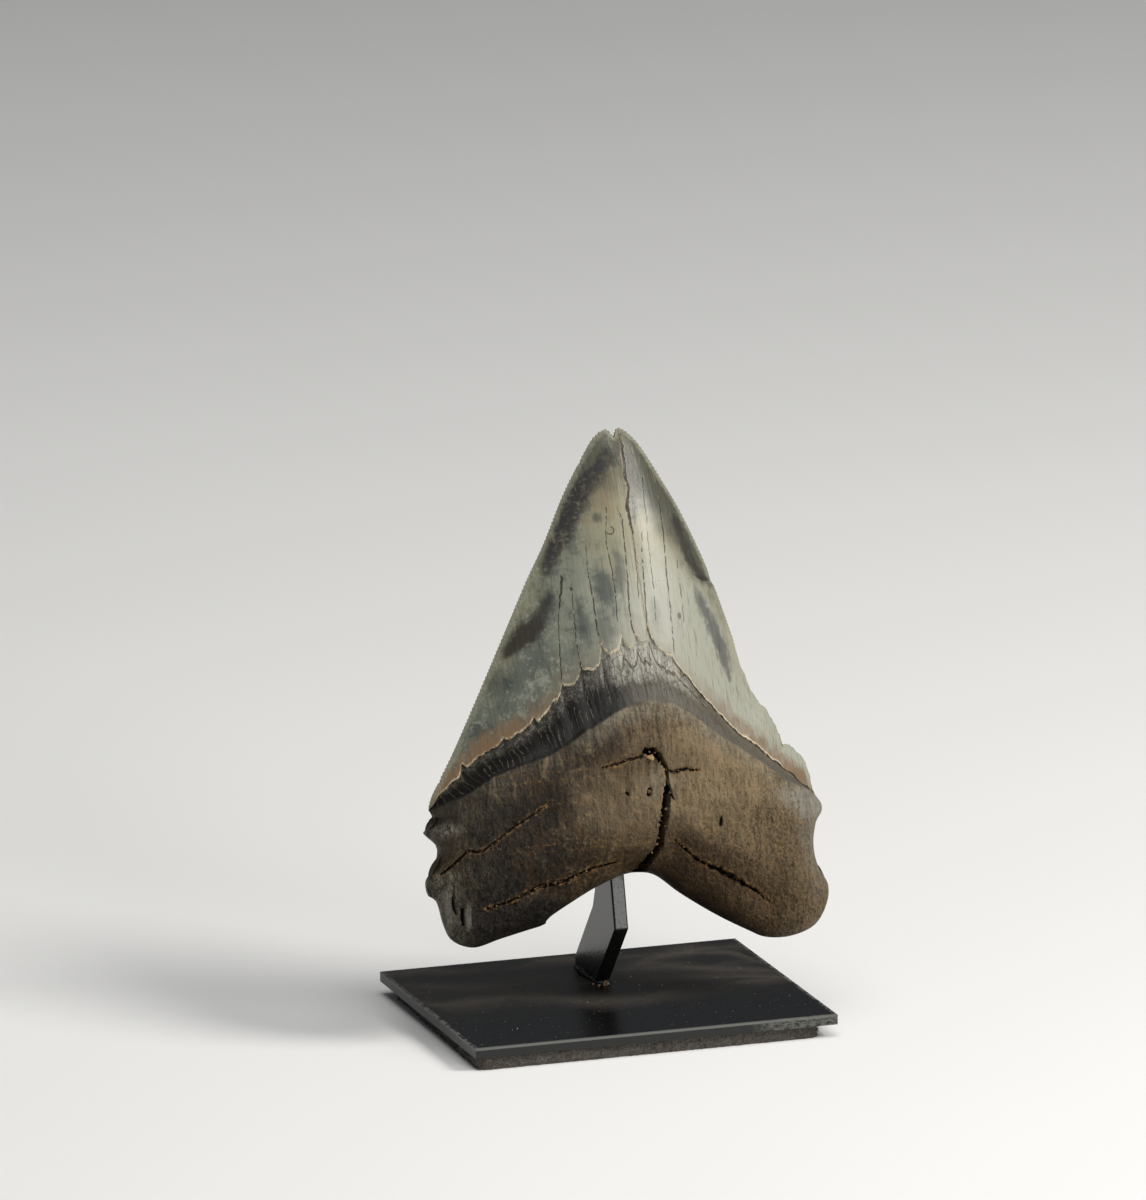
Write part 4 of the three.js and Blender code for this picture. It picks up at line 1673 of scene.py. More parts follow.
    def _band(self) -> tuple[Value, Value]:
        """The bourlette's colour, and its cracks.

        Returns:
            The colour, and the cracks' strength.
        """
        s, a, c = self.s, self.a, RootColours()
        height = self.over / (self.over - self.above).at_least(0.5)
        lines = s.noise(s.scaled(self.where, 1.3, 0.16, 0.0), 1.0, 3.0, 0.6) - 0.5
        leftness = s.step(a + lines * 4 + self.cloud * 6, 1.0, -4.5)
        centre = s.step(abs(a - 4.8 + lines * 3 + self.cloud * 6), 12.0, 4.0)
        # Darker on the left and greyer on the right: partly the bourlette's own colour, partly painted shade
        # on the left and a painted grey sheen on the right.
        colour = s.mix(s.step(a, -2.0, 6.0), c.band_left, c.band_right)
        lower = s.step(height + lines * 0.3, 0.5, 0.2)
        colour = s.mix(lower * 0.75, colour, c.band_low)
        high = s.step(height + self.cloud * 0.6 + lines * 0.4 + self.grit * 0.3, 0.3, 0.6)
        colour = s.mix(centre * high * 0.9, colour, c.band_centre)
        flecks = s.step(self.grain + self.grit * 0.6, 0.0, 0.16) * s.step(height, 0.5, 0.8)
        colour = s.mix(flecks * 0.35, colour, c.band_centre)
        # Painted shade, partly the band's own dark colour: the upper left of the bourlette, facing away from
        # the light, is made almost black.
        dark = leftness * s.step(height + lines * 0.5 + self.grit * 0.3 + self.cloud * 0.3, 0.8, 0.5)
        colour = s.mix(dark * 0.97, colour, c.hollow)
        beat = s.maths("FRACT", a / 1.04 + lines * 1.6 + self.cloud * 2)
        ridges = s.step(abs(beat - 0.5), 0.09, 0.02)
        ridges = ridges * s.step(lines + self.cloud + self.grit * 0.3, -0.2, 0.02)
        ridges = ridges * s.step(height, 0.06, 0.2) * s.step(height, 1.02, 0.85)
        colour = s.mix(ridges * (0.12 + 0.5 * leftness), colour, c.ridge)
        bent = s.add("VectorMath", {"operation": "ADD"}, {
            0: s.scaled(self.where, 0.85, 0.6, 0.0),
            1: s.scaled(s.add("TexNoise", {}, {"Vector": self.where, "Scale": 0.9, "Detail": 4.0}, 1),
                        1.3, 1.3, 0.0)})
        cells = s.voronoi(bent, 1.0, "DISTANCE_TO_EDGE")
        mosaic = s.step(cells + self.grit * 0.06, 0.03, 0.004) * s.step(height, 0.2, 0.4)
        mosaic = mosaic * (s.step(a, -9.0, -3.0) * s.step(a, 30.0, 14.0))
        mosaic = mosaic * s.step(lines + self.grit, -0.12, 0.14)
        parallel = s.step(abs(height - 0.66 + lines * 0.3 + self.grit * 0.16), 0.035, 0.012)
        parallel = parallel * s.step(a, -1.5, 0.5) * s.step(a, 19.0, 15.0)
        upright = s.step(abs(beat - 0.1), 0.08, 0.02) * s.step(a, 0.0, 8.0)
        upright = upright * s.step(self.cloud + lines, -0.1, 0.1)
        mosaic = mosaic.at_least(parallel)
        colour = s.mix(mosaic * 0.75, colour, c.low)
        colour = s.mix(upright * 0.4, colour, c.brown)
        return colour, mosaic.at_least(upright * 0.6) - ridges * 0.8

    def _root(self) -> tuple[Value, Value]:
        """The root's colour, and the depth of its texture.

        Returns:
            The colour, and the texture's depth.
        """
        s, a, b, c = self.s, self.a, self.b, RootColours()
        streaks = s.noise(s.scaled(self.where, 1.2, 0.26, 0.6), 1.0, 3.0, 0.6) - 0.5
        scratches = s.noise(s.scaled(self.where, 2.2, 0.9, 1.5), 1.0, 4.0, 0.66) - 0.5
        patches = s.noise(s.scaled(self.where, 0.36, 0.24, 0.3), 1.0, 4.0, 0.6, 0.5) - 0.5
        pebbles = s.voronoi(s.scaled(self.where, 1.0, 0.8, 1.0), 1.9)
        colour = s.mix(s.step(a + self.cloud * 16 + streaks * 8, -6.0, 20.0), c.brown, c.warm)
        colour = s.mix(s.step(self.over + self.cloud * 8 + streaks * 5, -11.0, -2.5) * s.step(a, 4.0, -8.0),
                       colour, c.upper)
        crest = s.step(self.over + streaks * 3.0 + self.cloud * 3, -5.0, -0.5)
        colour = s.mix(crest * (s.step(a, -16.0, 0.0) * 0.8 + 0.1), colour, c.shoulder)
        low = s.step(b - abs(a - 2) * 0.1 + self.cloud * 14 + patches * 9, 14.0, -2.0)
        colour = s.mix(low * 0.85, colour, c.low)
        # Painted shade: the left of the root below the shoulder is darkened, as if turned away from the
        # light.
        left = s.step(a + self.cloud * 12 + patches * 6, -4.0, -22.0)
        left = left * s.step(self.over + self.cloud * 6, -2.0, -9.0)
        left = left * s.step(a + self.cloud * 5, -39.0, -33.0)
        colour = s.mix(left * 0.8, colour, c.left_painted_shade)
        # Painted shade under the left lobe and below the right crack, where the root faces down.
        under = s.step(b + a * 0.24 + self.cloud * 4 + streaks * 2, -5.0, -10.0) * s.step(a, 2.0, -4.0)
        under = under.at_least(s.step(b + a * 0.62 + self.cloud * 4, 4.6, 1.4) * s.step(a, -2.0, 3.0)
                               * s.step(a, 31.0, 24.0))
        colour = s.mix(under * 0.8, colour, c.under)
        rough = s.step(b - abs(a) * 0.12 + self.cloud * 12, 20.0, -2.0)
        # Broad stains and a painted lighter right side, then the grain of the bone over them.
        colour = s.mix(s.step(patches + self.grit * 0.3, 0.02, 0.22) * 0.5, colour, c.warm)
        colour = s.mix(s.step(patches + self.cloud * 0.7 + self.grit * 0.3, -0.03, -0.26) * 0.5,
                       colour, c.low)
        calm = s.step(a + self.cloud * 10, -34.0, -8.0) * 0.7 + 0.3
        rust = s.step(self.cloud - patches * 0.6 + self.grit * 0.2, 0.02, 0.16)
        colour = s.mix(rust * calm * (0.3 + 0.3 * rough), colour, c.rust)
        # Painted light: the right side of the root is lightened with the warm colour where the light falls on
        # it.
        right = s.step(a + self.cloud * 12 + patches * 8, 8.0, 26.0)
        colour = s.mix(right * 0.5, colour, c.warm)
        worn = s.step(scratches + streaks * 0.5 + patches * 0.4, 0.05, 0.26)
        colour = s.mix(worn * calm * 0.3, colour, c.ochre)
        flecks = s.step(self.grain + self.grit * 0.7, 0.04, 0.24) * (0.08 + 0.42 * rough)
        colour = s.mix(flecks * calm, colour, c.ochre)
        ashen = s.step(a + self.cloud * 12 + streaks * 12, -20.0, -36.0)
        ashen = ashen * (s.step(scratches + self.grain * 0.6 + streaks * 0.5, -0.12, 0.16) * 0.75 + 0.1)
        colour = s.mix(ashen * 0.7, colour, c.ashen)
        dark = s.step(scratches + self.grain * 0.6 + streaks * 0.3, -0.08, -0.28)
        colour = s.mix(dark * (0.34 + 0.26 * rough), colour, c.pits)
        hollows = s.step(pebbles + self.grain * 0.5 + scratches * 0.6, 0.46, 0.8)
        colour = s.mix(hollows * (0.04 + 0.4 * rough), colour, c.pits)
        fissures = s.step(abs(scratches + streaks * 0.6 + 0.05), 0.02, 0.004) * s.step(streaks, 0.02, -0.1)
        colour = s.mix(fissures * 0.6, colour, c.pits)
        pores = s.voronoi(s.scaled(self.where, 1.0, 0.7, 1.0), 0.9)
        pits = s.step(pores + self.grit * 0.4, 0.16, 0.05) * s.step(self.cloud + self.grit * 0.2, 0.0, 0.12)
        colour = s.mix(pits * 0.8, colour, c.pits)
        # Painted shade: the left side and the underside are darkened again by multiplying.
        shade = (left * 0.72).at_least(under * 0.95)
        colour = s.mix(shade, colour, (0.3, 0.27, 0.23), "MULTIPLY")
        # Painted shade below the right lobe's crack, darkened by multiplying.
        lobe = s.step(b + a * 0.45 + self.cloud * 6 + patches * 5, 15.0, 9.0)
        lobe = lobe * s.step(a, 3.0, 9.0) * s.step(a + self.cloud * 5, 38.0, 28.0)
        colour = s.mix(lobe * 0.85, colour, (0.5, 0.42, 0.3), "MULTIPLY")
        patch = self._blob((-3.0, 14.0), 9.0, 6.0, 0, self.cloud * 2.2 + self.grit, 0.7)
        colour = s.mix(patch * 0.4, colour, c.warm)
        scoured = s.step(scratches + self.grain * 0.8 + streaks * 0.4, -0.12, 0.14)
        # A grey patch on the nub: partly its own grey, partly a painted highlight where the nub catches the
        # light.
        patch = self._blob((-38.8, 11.9), 3.2, 1.5, 10, self.grit * 1.4 + scratches, 0.6)
        colour = s.mix(patch * (scoured * 0.45 + 0.05), colour, c.grey)
        # Grey at the right upper corner, a pale patch in the middle, and a tall grey patch on the right flank
        # that is partly its own grey, partly a painted sheen.
        for middle, half_a, half_b, turn, cloudy, gritty, soft, much, tint in (
                ((36.8, 11.8), 6.2, 3.2, -22, 1.6, 1.2, 0.5, 0.75, c.grey),
                ((38.0, 3.0), 3.0, 9.0, 8, 1.8, 1.0, 0.6, 0.3, c.grey),
                ((5.0, 17.0), 3.6, 3.6, 0, 1.5, 1.3, 0.5, 0.35, c.shoulder)):
            patch = self._blob(middle, half_a, half_b, turn, self.cloud * cloudy + self.grit * gritty, soft)
            colour = s.mix(patch * much, colour, tint)
        bulb = s.step(a + self.cloud * 5 + self.grit * 2 + scratches * 3, -33.5, -38.5)
        colour = s.mix(bulb * (scoured * 0.62 + 0.08) * s.step(b, 6.0, 2.0), colour, c.left_grey)
        for middle, half_a, half_b in (((-38.7, -3.2), 0.7, 3.4), ((-35.3, -5.6), 0.6, 2.6)):
            crest = self._blob(middle, half_a, half_b, 4, self.grit * 1.6 + scratches, 0.5)
            colour = s.mix(crest * 0.5, colour, c.grey)
        depth = (scratches * 0.7 + self.grit * (0.7 + 0.8 * rough) + self.grain * (0.2 + 0.45 * rough)
                 + streaks * 0.7 + patches * 1.4 - pebbles * (0.1 + 0.5 * rough) - pits * 0.6
                 - fissures * 0.5)
        return colour, depth

    def _root_cracks(self) -> tuple[Value, Value]:
        """The root's cracks, and the tan stain beside them.

        Returns:
            The cracks' strength, and the stain's.
        """
        s = self.s
        wobble = (s.noise(s.scaled(self.where, 1.1, 1.1, 0.0), 1.0, 4.0, 0.65) - 0.5) * 0.9
        lines, stains = 0.0, 0.0
        for name in self.FLAT_CRACKS:
            course = sorted(CRACKS[name].course)
            (u0, v0, _), (u1, v1, _) = course[0], course[-1]
            before, after = (u0 - 1.2, v0, -1.0), (u1 + 1.2, v1, -1.0)
            gap = s.gap(self.a, self.b + wobble * 0.6, (before, *course, after))
            lines = s.step(gap, 0.1, -0.1).at_least(lines)
            stains = s.step(gap + wobble, 0.85, 0.1).at_least(stains)
        filled = s.step(self.grain + self.grit * 0.5, -0.08, 0.1)
        return lines * self.front * (1 - filled * 0.6), stains * self.front

    def build(self) -> bpy.types.Material:
        """Joins the parts of the finish.

        Returns:
            The material.
        """
        s, crown, root = self.s, CrownColours(), RootColours()
        enamel_colour, hairlines = self._crown()
        band_colour, mosaic = self._band()
        root_colour, texture = self._root()
        root_cracks, stains = self._root_cracks()
        hairlines = hairlines * self.front
        gloss = s.step(self.b + self.cloud * 14, 84.0, 66.0) * 0.92 + 0.08
        plain_back = s.noise(s.scaled(self.where, 1.5, 0.09, 0.5), 1.0, 4.0, 0.6)
        back_cracks = s.step(abs(plain_back - 0.5), 0.01, 0.003) * s.step(self.cloud, -0.05, 0.1)
        back_colour = s.mix(s.step(plain_back + self.cloud, 0.4, 0.65), crown.green_grey, crown.pale)
        broad = s.noise(self.where, 0.12, 5.0, 0.64, 0.6)
        back_colour = s.mix(s.step(broad, 0.5, 0.68) * 0.7, back_colour, crown.mist)
        back_colour = s.mix(s.step(broad + self.cloud * 0.6, 0.44, 0.3) * 0.6, back_colour, crown.cream)
        back_colour = s.mix(s.step(self.above + self.cloud * 8, 7.0, 0.0) * 0.6, back_colour, crown.tan)
        back_colour = s.mix(back_cracks * 0.8, back_colour, crown.crack)
        enamel_colour = s.mix(self.front, back_colour, enamel_colour)
        is_enamel = s.step(self.above + self.grit * 0.3, -0.12, 0.12)
        is_root = s.step(self.over + self.grit * 0.5, 0.35, -0.35)
        is_root = is_root.at_least(s.step(self.front, 0.5, 0.4) * (1 - is_enamel))
        colour = s.mix(is_enamel, band_colour, enamel_colour)
        lip = s.step(abs(self.above - 0.18 + self.grit * 0.9), 0.42, 0.12)
        lip = lip * self.front * s.step(self.b, 17.0, 21.0)
        lip = lip * s.step(self.cloud + self.grit + self.grain, -0.16, 0.08)
        colour = s.mix(lip * 0.85, colour, crown.lip)
        colour = s.mix(is_root, colour, root_colour)
        stain = stains * s.step(self.grit + self.grain * 0.5, -0.02, 0.12) * is_root
        colour = s.mix(stain * 0.7, colour, root.crack_edge)
        # The cracks' dark colour: partly their dark fill, partly painted shade in the deep cuts.
        deep = s.attribute("in_crack")
        shade = s.step(deep, 0.05, 0.75).at_least(root_cracks * is_root)
        colour = s.mix(shade, colour, root.crack)
        roughness = (0.5 - is_enamel * (1 - is_root) * 0.14 + self.grit * 0.16 + shade * 0.3
                     - s.step(self.cloud, 0.0, 0.2) * 0.05)
        stripes = s.noise(s.scaled(self.where, 1.6, 0.05, 0.4), 1.0, 3.0, 0.6)
        enamel_height = stripes * 0.36 + self.grit * 0.14 - hairlines * 0.9
        band_height = self.grit * 0.3 - mosaic * 0.9
        height = s.add("Mix", {"data_type": "FLOAT"}, {0: is_enamel, 2: band_height, 3: enamel_height})
        height = s.add("Mix", {"data_type": "FLOAT"}, {0: is_root, 2: height, 3: texture * 1.5})
        normal = s.bump(height - root_cracks * 1.2, 0.34 * MM, 1.0)
        return s.finish({"Specular IOR Level": 0.22, "Coat Roughness": 0.3, "Coat IOR": 1.5},
                        Base_Color=colour, Roughness=roughness,
                        Coat_Weight=is_enamel * gloss * 0.5 + 0.03, Normal=normal)


class Finishes:
    """The materials of the stand and of the small things on it."""

    DUST: tuple[Course, ...] = (
        ((7.0, 12.0, -3.0), (9.4, 14.7, 1.0), (18.3, 21.2, 3.0), (27.4, 24.2, 3.6), (32.0, 22.0, 3.0),
         (35.5, 16.5, 1.6), (37.4, 8.0, -3.0)),
        ((6.0, 15.6, -3.0), (9.0, 15.2, 1.6), (18.5, 14.4, 2.4), (27.0, 9.4, 2.6), (34.2, 6.1, 1.0),
         (38.0, 4.0, -3.0)),
        ((-38.6, 6.1, 1.0), (-33.8, 2.4, 5.0), (-28.2, 2.8, 6.0), (-19.8, 3.4, 5.0), (-12.1, 0.6, 6.0),
         (-4.7, -4.6, 6.4), (4.5, -5.4, 5.0), (14.9, -2.9, 4.0), (26.1, -1.0, 4.0), (38.0, -0.8, 1.0)),
        ((-37.0, 18.6, -2.0), (-32.4, 16.5, 2.4), (-24.8, 12.9, 2.8), (-18.4, 12.5, 1.6),
         (-13.0, 12.0, -3.0)),
        ((-38.0, 28.0, 2.0), (-30.1, 28.0, 3.0), (-26.0, 26.2, 1.0), (-21.0, 24.0, -3.0)),
        ((-9.0, 25.0, -3.0), (-5.1, 26.6, 2.0), (1.3, 26.2, 2.6), (6.0, 24.0, -3.0)),
        ((6.0, 8.0, -3.0), (9.2, 7.2, 2.0), (15.0, 5.2, 3.0), (25.4, 4.0, 3.0), (38.0, -0.6, 1.6)),
    )

    @staticmethod
    def _millimetres(shader: Shader) -> Value:
        """The model's millimetres in a material."""
        where = shader.add("TexCoord", {}, {}, "Object")
        return shader.scaled(where, 1000.0, 1000.0, 1000.0)

    def epoxy(self) -> bpy.types.Material:
        """Dark set epoxy with a dull skin.

        Returns:
            The material.
        """
        s = Shader("epoxy")
        where = self._millimetres(s)
        cloud = s.noise(where, 0.7, 4.0, 0.6)
        colour = s.mix(s.step(cloud, 0.4, 0.65), srgb(40, 34, 26), srgb(66, 56, 42))
        dust = s.step(s.noise(where, 3.0, 4.0, 0.65), 0.55, 0.7)
        colour = s.mix(dust * 0.5, colour, srgb(104, 92, 74))
        return s.finish({"Specular IOR Level": 0.4}, Base_Color=colour,
                        Roughness=0.32 + dust * 0.4, Normal=s.bump(cloud, 0.3 * MM, 0.6))

    def painted(self, name: str, roughness: float = 0.34) -> bpy.types.Material:
        """Satin black paint with paler rubbed patches and specks.

        Args:
            name: The material's name.
            roughness: The paint's roughness.

        Returns:
            The material.
        """
        s = Shader(name)
        where = self._millimetres(s)
        peel = s.noise(where, 1.6, 3.0, 0.5)
        specks = s.step(s.noise(where, 2.6, 3.0, 0.7), 0.66, 0.74)
        colour = s.mix(s.noise(where, 0.3, 3.0), srgb(11, 11, 12), srgb(24, 23, 22))
        colour = s.mix(specks * 0.6, colour, srgb(74, 66, 56))
        scuffs = s.noise(s.scaled(where, 1.2, 1.2, 0.25), 1.6, 5.0, 0.7)
        rub = s.step(scuffs, 0.58, 0.7)
        colour = s.mix(rub * 0.35, colour, srgb(52, 50, 47))
        return s.finish({"Specular IOR Level": 0.5}, Base_Color=colour,
                        Roughness=roughness + specks * 0.4 + rub * 0.12 + (peel - 0.5) * 0.1,
                        Normal=s.bump(peel + specks * 0.4, 0.06 * MM, 0.5))

    def plate(self) -> bpy.types.Material:
        """Black paint under a film of dust, its front edge rubbed, with a painted reflection on the front
        face and a painted highlight along the top edges.

        Returns:
            The material.
        """
        s = Shader("plate_paint")
        where = self._millimetres(s)
        x, y, z = (s.part(where, axis) for axis in range(3))
        low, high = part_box("base_plate")
        upward = s.step(z, high.z / MM - 0.16, high.z / MM - 0.04)
        waves = s.noise(s.scaled(where, 0.06, 0.16, 0.0), 1.0, 3.0, 0.55, 0.9) - 0.5
        film = 0.0
        for course in self.DUST:
            film = s.trace(x, y, course, waves * 12.0 - 1.4, 4.6).at_least(film)
        film = film * (s.step(waves, -0.3, 0.1) * 0.6 + 0.3) + s.step(y + waves * 20, -16.0, 0.0) * 0.12
        grain = s.noise(where, 3.6, 3.0, 0.7)
        dust = film * s.step(grain, 0.3, 0.66) * upward
        specks = s.step(s.noise(where, 1.9, 2.0, 0.5), 0.7, 0.76) * upward
        colour = s.mix(s.noise(where, 0.2, 3.0), srgb(9, 9, 10), srgb(17, 17, 17))
        colour = s.mix(dust * 0.56 + film * upward * 0.2, colour, srgb(104, 98, 90))
        colour = s.mix(specks * 0.7, colour, srgb(150, 142, 128))
        rubbed = s.noise(s.scaled(where, 0.5, 0.5, 2.0), 1.0, 5.0, 0.7)
        to_front = s.step(y, low.y / MM + 1.2, low.y / MM + 0.35)
        to_left = s.step(x, low.x / MM + 1.0, low.x / MM + 0.3)
        to_right = s.step(x, high.x / MM - 1.0, high.x / MM - 0.3)
        arris = s.step(abs(z - high.z / MM + 0.12), 0.34, 0.1)
        # A pale line along the top edges of the front and of the sides: partly paint rubbed off, partly a
        # painted highlight on the bevel.
        rub_and_highlight = to_front * s.step(rubbed, 0.16, 0.36) + to_left.at_least(to_right) * s.step(rubbed, 0.42, 0.56)
        rub_and_highlight = (arris * rub_and_highlight).at_most(1.0)
        scuffed = to_front * s.step(x, 19.0, 25.0)
        chips = scuffed * s.step(s.noise(s.scaled(where, 0.9, 0.9, 2.4), 1.0, 5.0, 0.75), 0.44, 0.54)
        # Painted reflection: the plate's front face is made grey, as if it reflected the floor.
        colour = s.mix(to_front * (1 - upward) * 0.5, colour, srgb(48, 49, 46))
        colour = s.mix(rub_and_highlight * 0.75, colour, srgb(118, 119, 114))
        colour = s.mix(chips * 0.75, colour, srgb(104, 104, 98))
        rough = 0.26 + film * upward * 0.22 + dust * 0.4 + rub_and_highlight * 0.06 + chips * 0.2
        bumps = s.noise(where, 1.3, 3.0, 0.5) * 0.5 + dust * 0.5 + chips * 0.8 + specks
        return s.finish({"Specular IOR Level": 0.3}, Base_Color=colour, Roughness=rough,
                        Normal=s.bump(bumps, 0.06 * MM, 0.5))

    def felt(self, name: str) -> bpy.types.Material:
        """Grey-brown felt.

        Args:
            name: The material's name.

        Returns:
            The material.
        """
        s = Shader(name)
        where = self._millimetres(s)
        fuzz = s.noise(where, 3.2, 5.0, 0.75, 0.8)
        patches = s.noise(where, 0.4, 3.0, 0.6)
        colour = s.mix(s.step(fuzz, 0.36, 0.62), srgb(52, 48, 44), srgb(112, 105, 96))
        colour = s.mix(s.step(patches, 0.5, 0.7) * 0.4, colour, srgb(76, 73, 70))
        colour = s.mix(s.step(s.noise(where, 6.0, 2.0), 0.64, 0.72) * 0.6, colour, srgb(132, 124, 112))
        return s.finish({"Roughness": 0.95, "Specular IOR Level": 0.15, "Sheen Weight": 0.3},
                        Base_Color=colour, Normal=s.bump(fuzz, 0.25 * MM, 0.9))

    def stone(self, name: str, dark: Colour, light: Colour) -> bpy.types.Material:
        """Small grains of sand and clay.

        Args:
            name: The material's name.
            dark: The darkest grains.
            light: The lightest ones.

        Returns:
            The material.
        """
        s = Shader(name)
        where = self._millimetres(s)
        colour = s.mix(s.attribute("shade"), dark, light)
        spots = s.noise(where, 5.0, 4.0, 0.7)
        colour = s.mix(s.step(spots, 0.5, 0.66) * 0.5, colour, dark)
        return s.finish({"Roughness": 0.8, "Specular IOR Level": 0.3}, Base_Color=colour,
                        Normal=s.bump(spots, 0.08 * MM, 0.8))


# ---- the studio


@dataclass(frozen=True)
class SoftLight:
    """A soft lamp: where it stands, seen from the tooth, and how strong it is."""

    turn: float
    height: float
    distance: float
    size: float
    power: float
    colour: Colour = (1.0, 1.0, 1.0)


@dataclass
class Studio:
    """The floor, the lights and the camera."""

    azimuth: float = -19.2
    elevation: float = 14.0
    frame_height: float = 240.0
    distance: float = 2.5
    aim: Point = (-6.9, 78.6)
    lit_height: float = 55.0
    sky: Colour = (0.86, 0.9, 0.95)
    sky_strength: float = 0.11
    floor_size: float = 6.0
    lights: tuple[SoftLight, ...] = (
        SoftLight(76, 40, 1.3, 0.5, 12.5, (1.0, 0.985, 0.955)),
        SoftLight(41, 17, 1.3, 0.6, 5.0, (1.0, 0.99, 0.97)),
        SoftLight(20, 80, 1.5, 1.4, 12.0, (1.0, 0.995, 0.985)))

    def _direction(self, turn: float, height: float) -> Vector:
        """A direction from the tooth, turned from the camera's side and raised, in degrees.

        Args:
            turn: The turn in degrees.
            height: The rise in degrees.

        Returns:
            The direction, one unit long.
        """
        flat = math.radians(self.azimuth - 90 + turn)
        up = math.radians(height)
        return Vector((math.cos(flat) * math.cos(up), math.sin(flat) * math.cos(up), math.sin(up)))

    def build(self) -> None:
        """Makes the floor, the world, the lights and the camera."""
        right = Vector((math.cos(math.radians(self.azimuth)), math.sin(math.radians(self.azimuth)), 0))
        towards = self._direction(0, self.elevation)
        up = towards.cross(right)
        plate_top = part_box("base_plate")[1].z
        target = Vector((0, 0, plate_top)) + self.aim[0] * MM * right + self.aim[1] * MM * up
        camera = in_scene("camera", bpy.data.cameras.new("camera"))
        camera.location = target + towards * self.distance
        camera.rotation_euler = towards.to_track_quat("Z", "Y").to_euler()
        camera.data.sensor_width = 36
        camera.data.lens = 36 * self.distance / (self.frame_height * MM)
        camera.data.clip_start, camera.data.clip_end = 0.1, 20
        bpy.context.scene.camera = camera
        middle = Vector((0, 0, self.lit_height * MM))
        for number, light in enumerate(self.lights):
            lamp = bpy.data.lights.new(f"soft_{number}", "AREA")
            lamp.shape, lamp.size = "DISK", light.size
            lamp.energy, lamp.color = light.power, light.colour
            holder = in_scene(f"soft_{number}", lamp)
            way = self._direction(light.turn, light.height)
            holder.location = middle + way * light.distance
            holder.rotation_euler = way.to_track_quat("Z", "Y").to_euler()
        world = bpy.data.worlds.new("studio")
        bpy.context.scene.world = world
        world.use_nodes = True
        background = world.node_tree.nodes["Background"]
        background.inputs["Color"].default_value = (*self.sky, 1)
        background.inputs["Strength"].default_value = self.sky_strength
        bpy.ops.mesh.primitive_plane_add(size=self.floor_size)
        floor = bpy.context.object
        floor.name = "floor"
        shader = Shader("floor")
        where = shader.add("TexCoord", {}, {}, "Object")
        tint = shader.mix(shader.noise(where, 3.0, 3.0), (0.82, 0.815, 0.80), (0.87, 0.865, 0.85))
        floor.data.materials.append(
            shader.finish({"Roughness": 0.75, "Specular IOR Level": 0.2}, Base_Color=tint))


def write_size() -> None:
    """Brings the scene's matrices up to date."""
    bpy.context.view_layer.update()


def sediment(shape: ToothShape, place: ToothFrame) -> tuple[np.ndarray, np.ndarray]:
    """Where sediment still sits in the tooth's cracks and pits.

    Args:
        shape: The tooth's surface.
        place: The tooth's frame.

    Returns:
        The grains' centres in the model's millimetres, and their widths.
    """
    draw = np.random.default_rng(83)
    spots = [(2.4, 22.6, 1.9, 0.1), (1.5, 23.4, 1.4, 0.3), (3.1, 21.7, 1.3, 0.1), (3.4, 22.9, 0.9, 0.6),
             (1.9, 16.2, 1.1, 0.1), (-2.7, 16.1, 0.5, 0.5), (3.2, 9.2, 1.4, 0.2), (3.0, 8.2, 1.0, 0.4),
             (2.6, 6.3, 1.2, 0.2), (2.2, 5.6, 0.9, 0.4), (5.0, 18.4, 1.2, 0.1), (4.6, 19.4, 1.1, 0.0),
             (5.3, 20.4, 1.1, 0.1), (4.9, 17.5, 0.9, 0.2), (-17.8, -0.1, 0.9, 0.2), (-16.9, 0.0, 0.6, 0.4),
             (-36.6, 6.0, 0.5, 0.4)]
    for name, count, least, most in (("left", 16, 0.2, 0.55), ("right", 12, 0.25, 0.6),
                                     ("left_lobe", 46, 0.2, 0.6), ("upper_left", 26, 0.15, 0.36),
                                     ("right_lobe", 26, 0.2, 0.5), ("main", 16, 0.2, 0.9)):
        course = np.array(CRACKS[name].course)
        for share in draw.random(count):
            at = share * (len(course) - 1) * (0.8 if name == "main" else 1)
            a, b, width = (np.interp(at, np.arange(len(course)), course[:, k]) for k in range(3))
            side = draw.choice((-1, 1)) if name == "main" else draw.uniform(-1, 1)
            a, b = (a + side * width * 0.42, b) if name == "main" else (a, b + side * width * 0.4)
            spots.append((a, b, draw.uniform(least, most), draw.uniform(0.1, 0.6)))
    spots = np.array(spots)
    where = spots[:, :2]
    depth = shape.front(where) + 0.4 * shape.relief(where).clip(-0.9, 1) - spots[:, 3]
    centres = place.to_model(np.column_stack([where, depth])) / MM
    return centres, spots[:, 2]


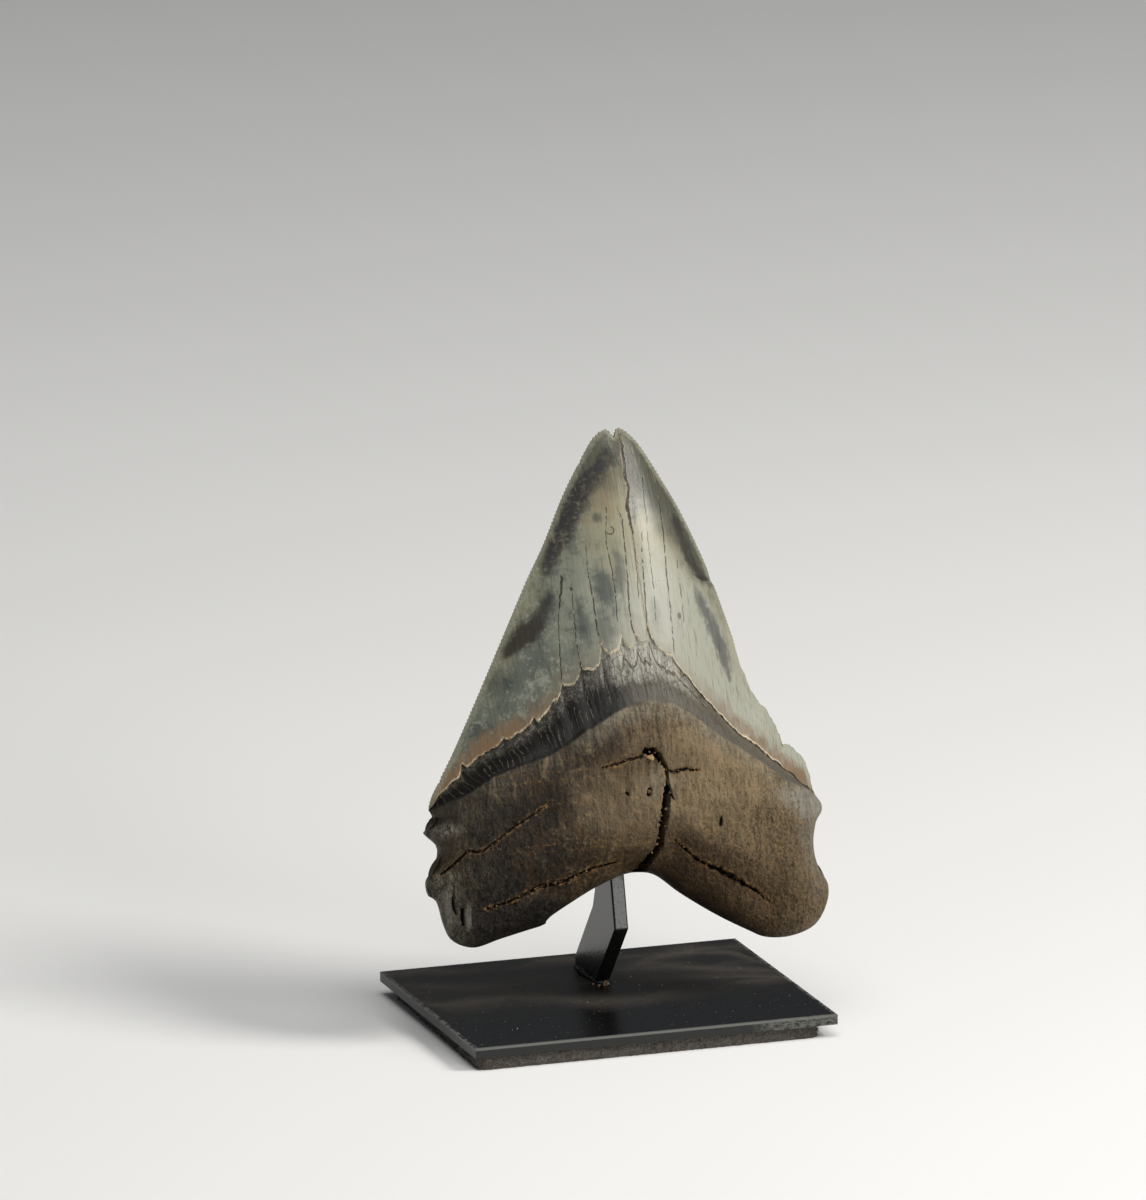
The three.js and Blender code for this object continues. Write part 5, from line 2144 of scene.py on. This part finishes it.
def plate_crumbs() -> tuple[np.ndarray, np.ndarray]:
    """Where crumbs lie on the plate.

    Returns:
        Their centres in millimetres, and their widths.
    """
    draw = np.random.default_rng(97)
    low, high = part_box("base_plate")
    top = high.z / MM
    few = [(1.2, 4.9, 1.5), (2.3, 5.4, 0.9), (0.1, 5.3, 0.8), (-0.7, 6.4, 0.6), (3.7, 6.3, 0.6),
           (7.9, 3.2, 0.5), (12.0, 1.2, 0.45), (-3.0, 4.4, 0.4)]
    many = 150
    x = draw.uniform(low.x / MM + 2, high.x / MM - 2, many)
    y = draw.uniform(low.y / MM + 2, high.y / MM - 2, many)
    size = 0.12 + 0.2 * draw.random(many) ** 3
    centres = np.vstack([[(x, y, top + size * 0.25) for x, y, size in few],
                         np.column_stack([x, y, top + size * 0.2])])
    return centres, np.concatenate([[size for _, _, size in few], size])


def main() -> None:
    """Builds every piece and reports it."""
    logging.basicConfig(level=logging.INFO, format="%(name)s: %(message)s")
    bpy.context.scene.view_settings.view_transform = "Standard"
    place = ToothFrame()
    tooth, post, felt, finishes = Tooth(), Post(), Felt(), Finishes()
    deliver(tooth.build(place), "fossil_tooth", Slot.TOOTH, FossilFinish(place).build(), "tooth")
    tan = finishes.stone("sediment", srgb(72, 54, 34), srgb(160, 132, 94))
    deliver(Grains(5).build("sediment", *sediment(tooth.shape, place)), "sediment", Slot.TOOTH, tan)
    deliver(Epoxy().build(place), "epoxy_bead", Slot.EPOXY, finishes.epoxy(), "epoxy_bed")
    deliver(post.build(), "bent_post", Slot.PAINTED_STEEL, finishes.painted("post_paint", 0.24), "post")
    deliver(Weld().build(post), "foot_weld", Slot.PAINTED_STEEL, finishes.painted("weld_paint", 0.5))
    deliver(Plate().build(), "worn_plate", Slot.PAINTED_STEEL, finishes.plate(), "base_plate")
    dust = finishes.stone("crumbs", srgb(120, 92, 62), srgb(214, 196, 168))
    deliver(Grains(7).build("crumbs", *plate_crumbs()), "crumbs", Slot.PAINTED_STEEL, dust)
    deliver(felt.build(), "felt_body", Slot.FELT, finishes.felt("felt"), "felt_pad")
    deliver(felt.build_fibres(), "felt_fibres", Slot.FELT, finishes.felt("felt_fibre"))
    Studio().build()
    write_size()


if __name__ == "__main__":
    main()
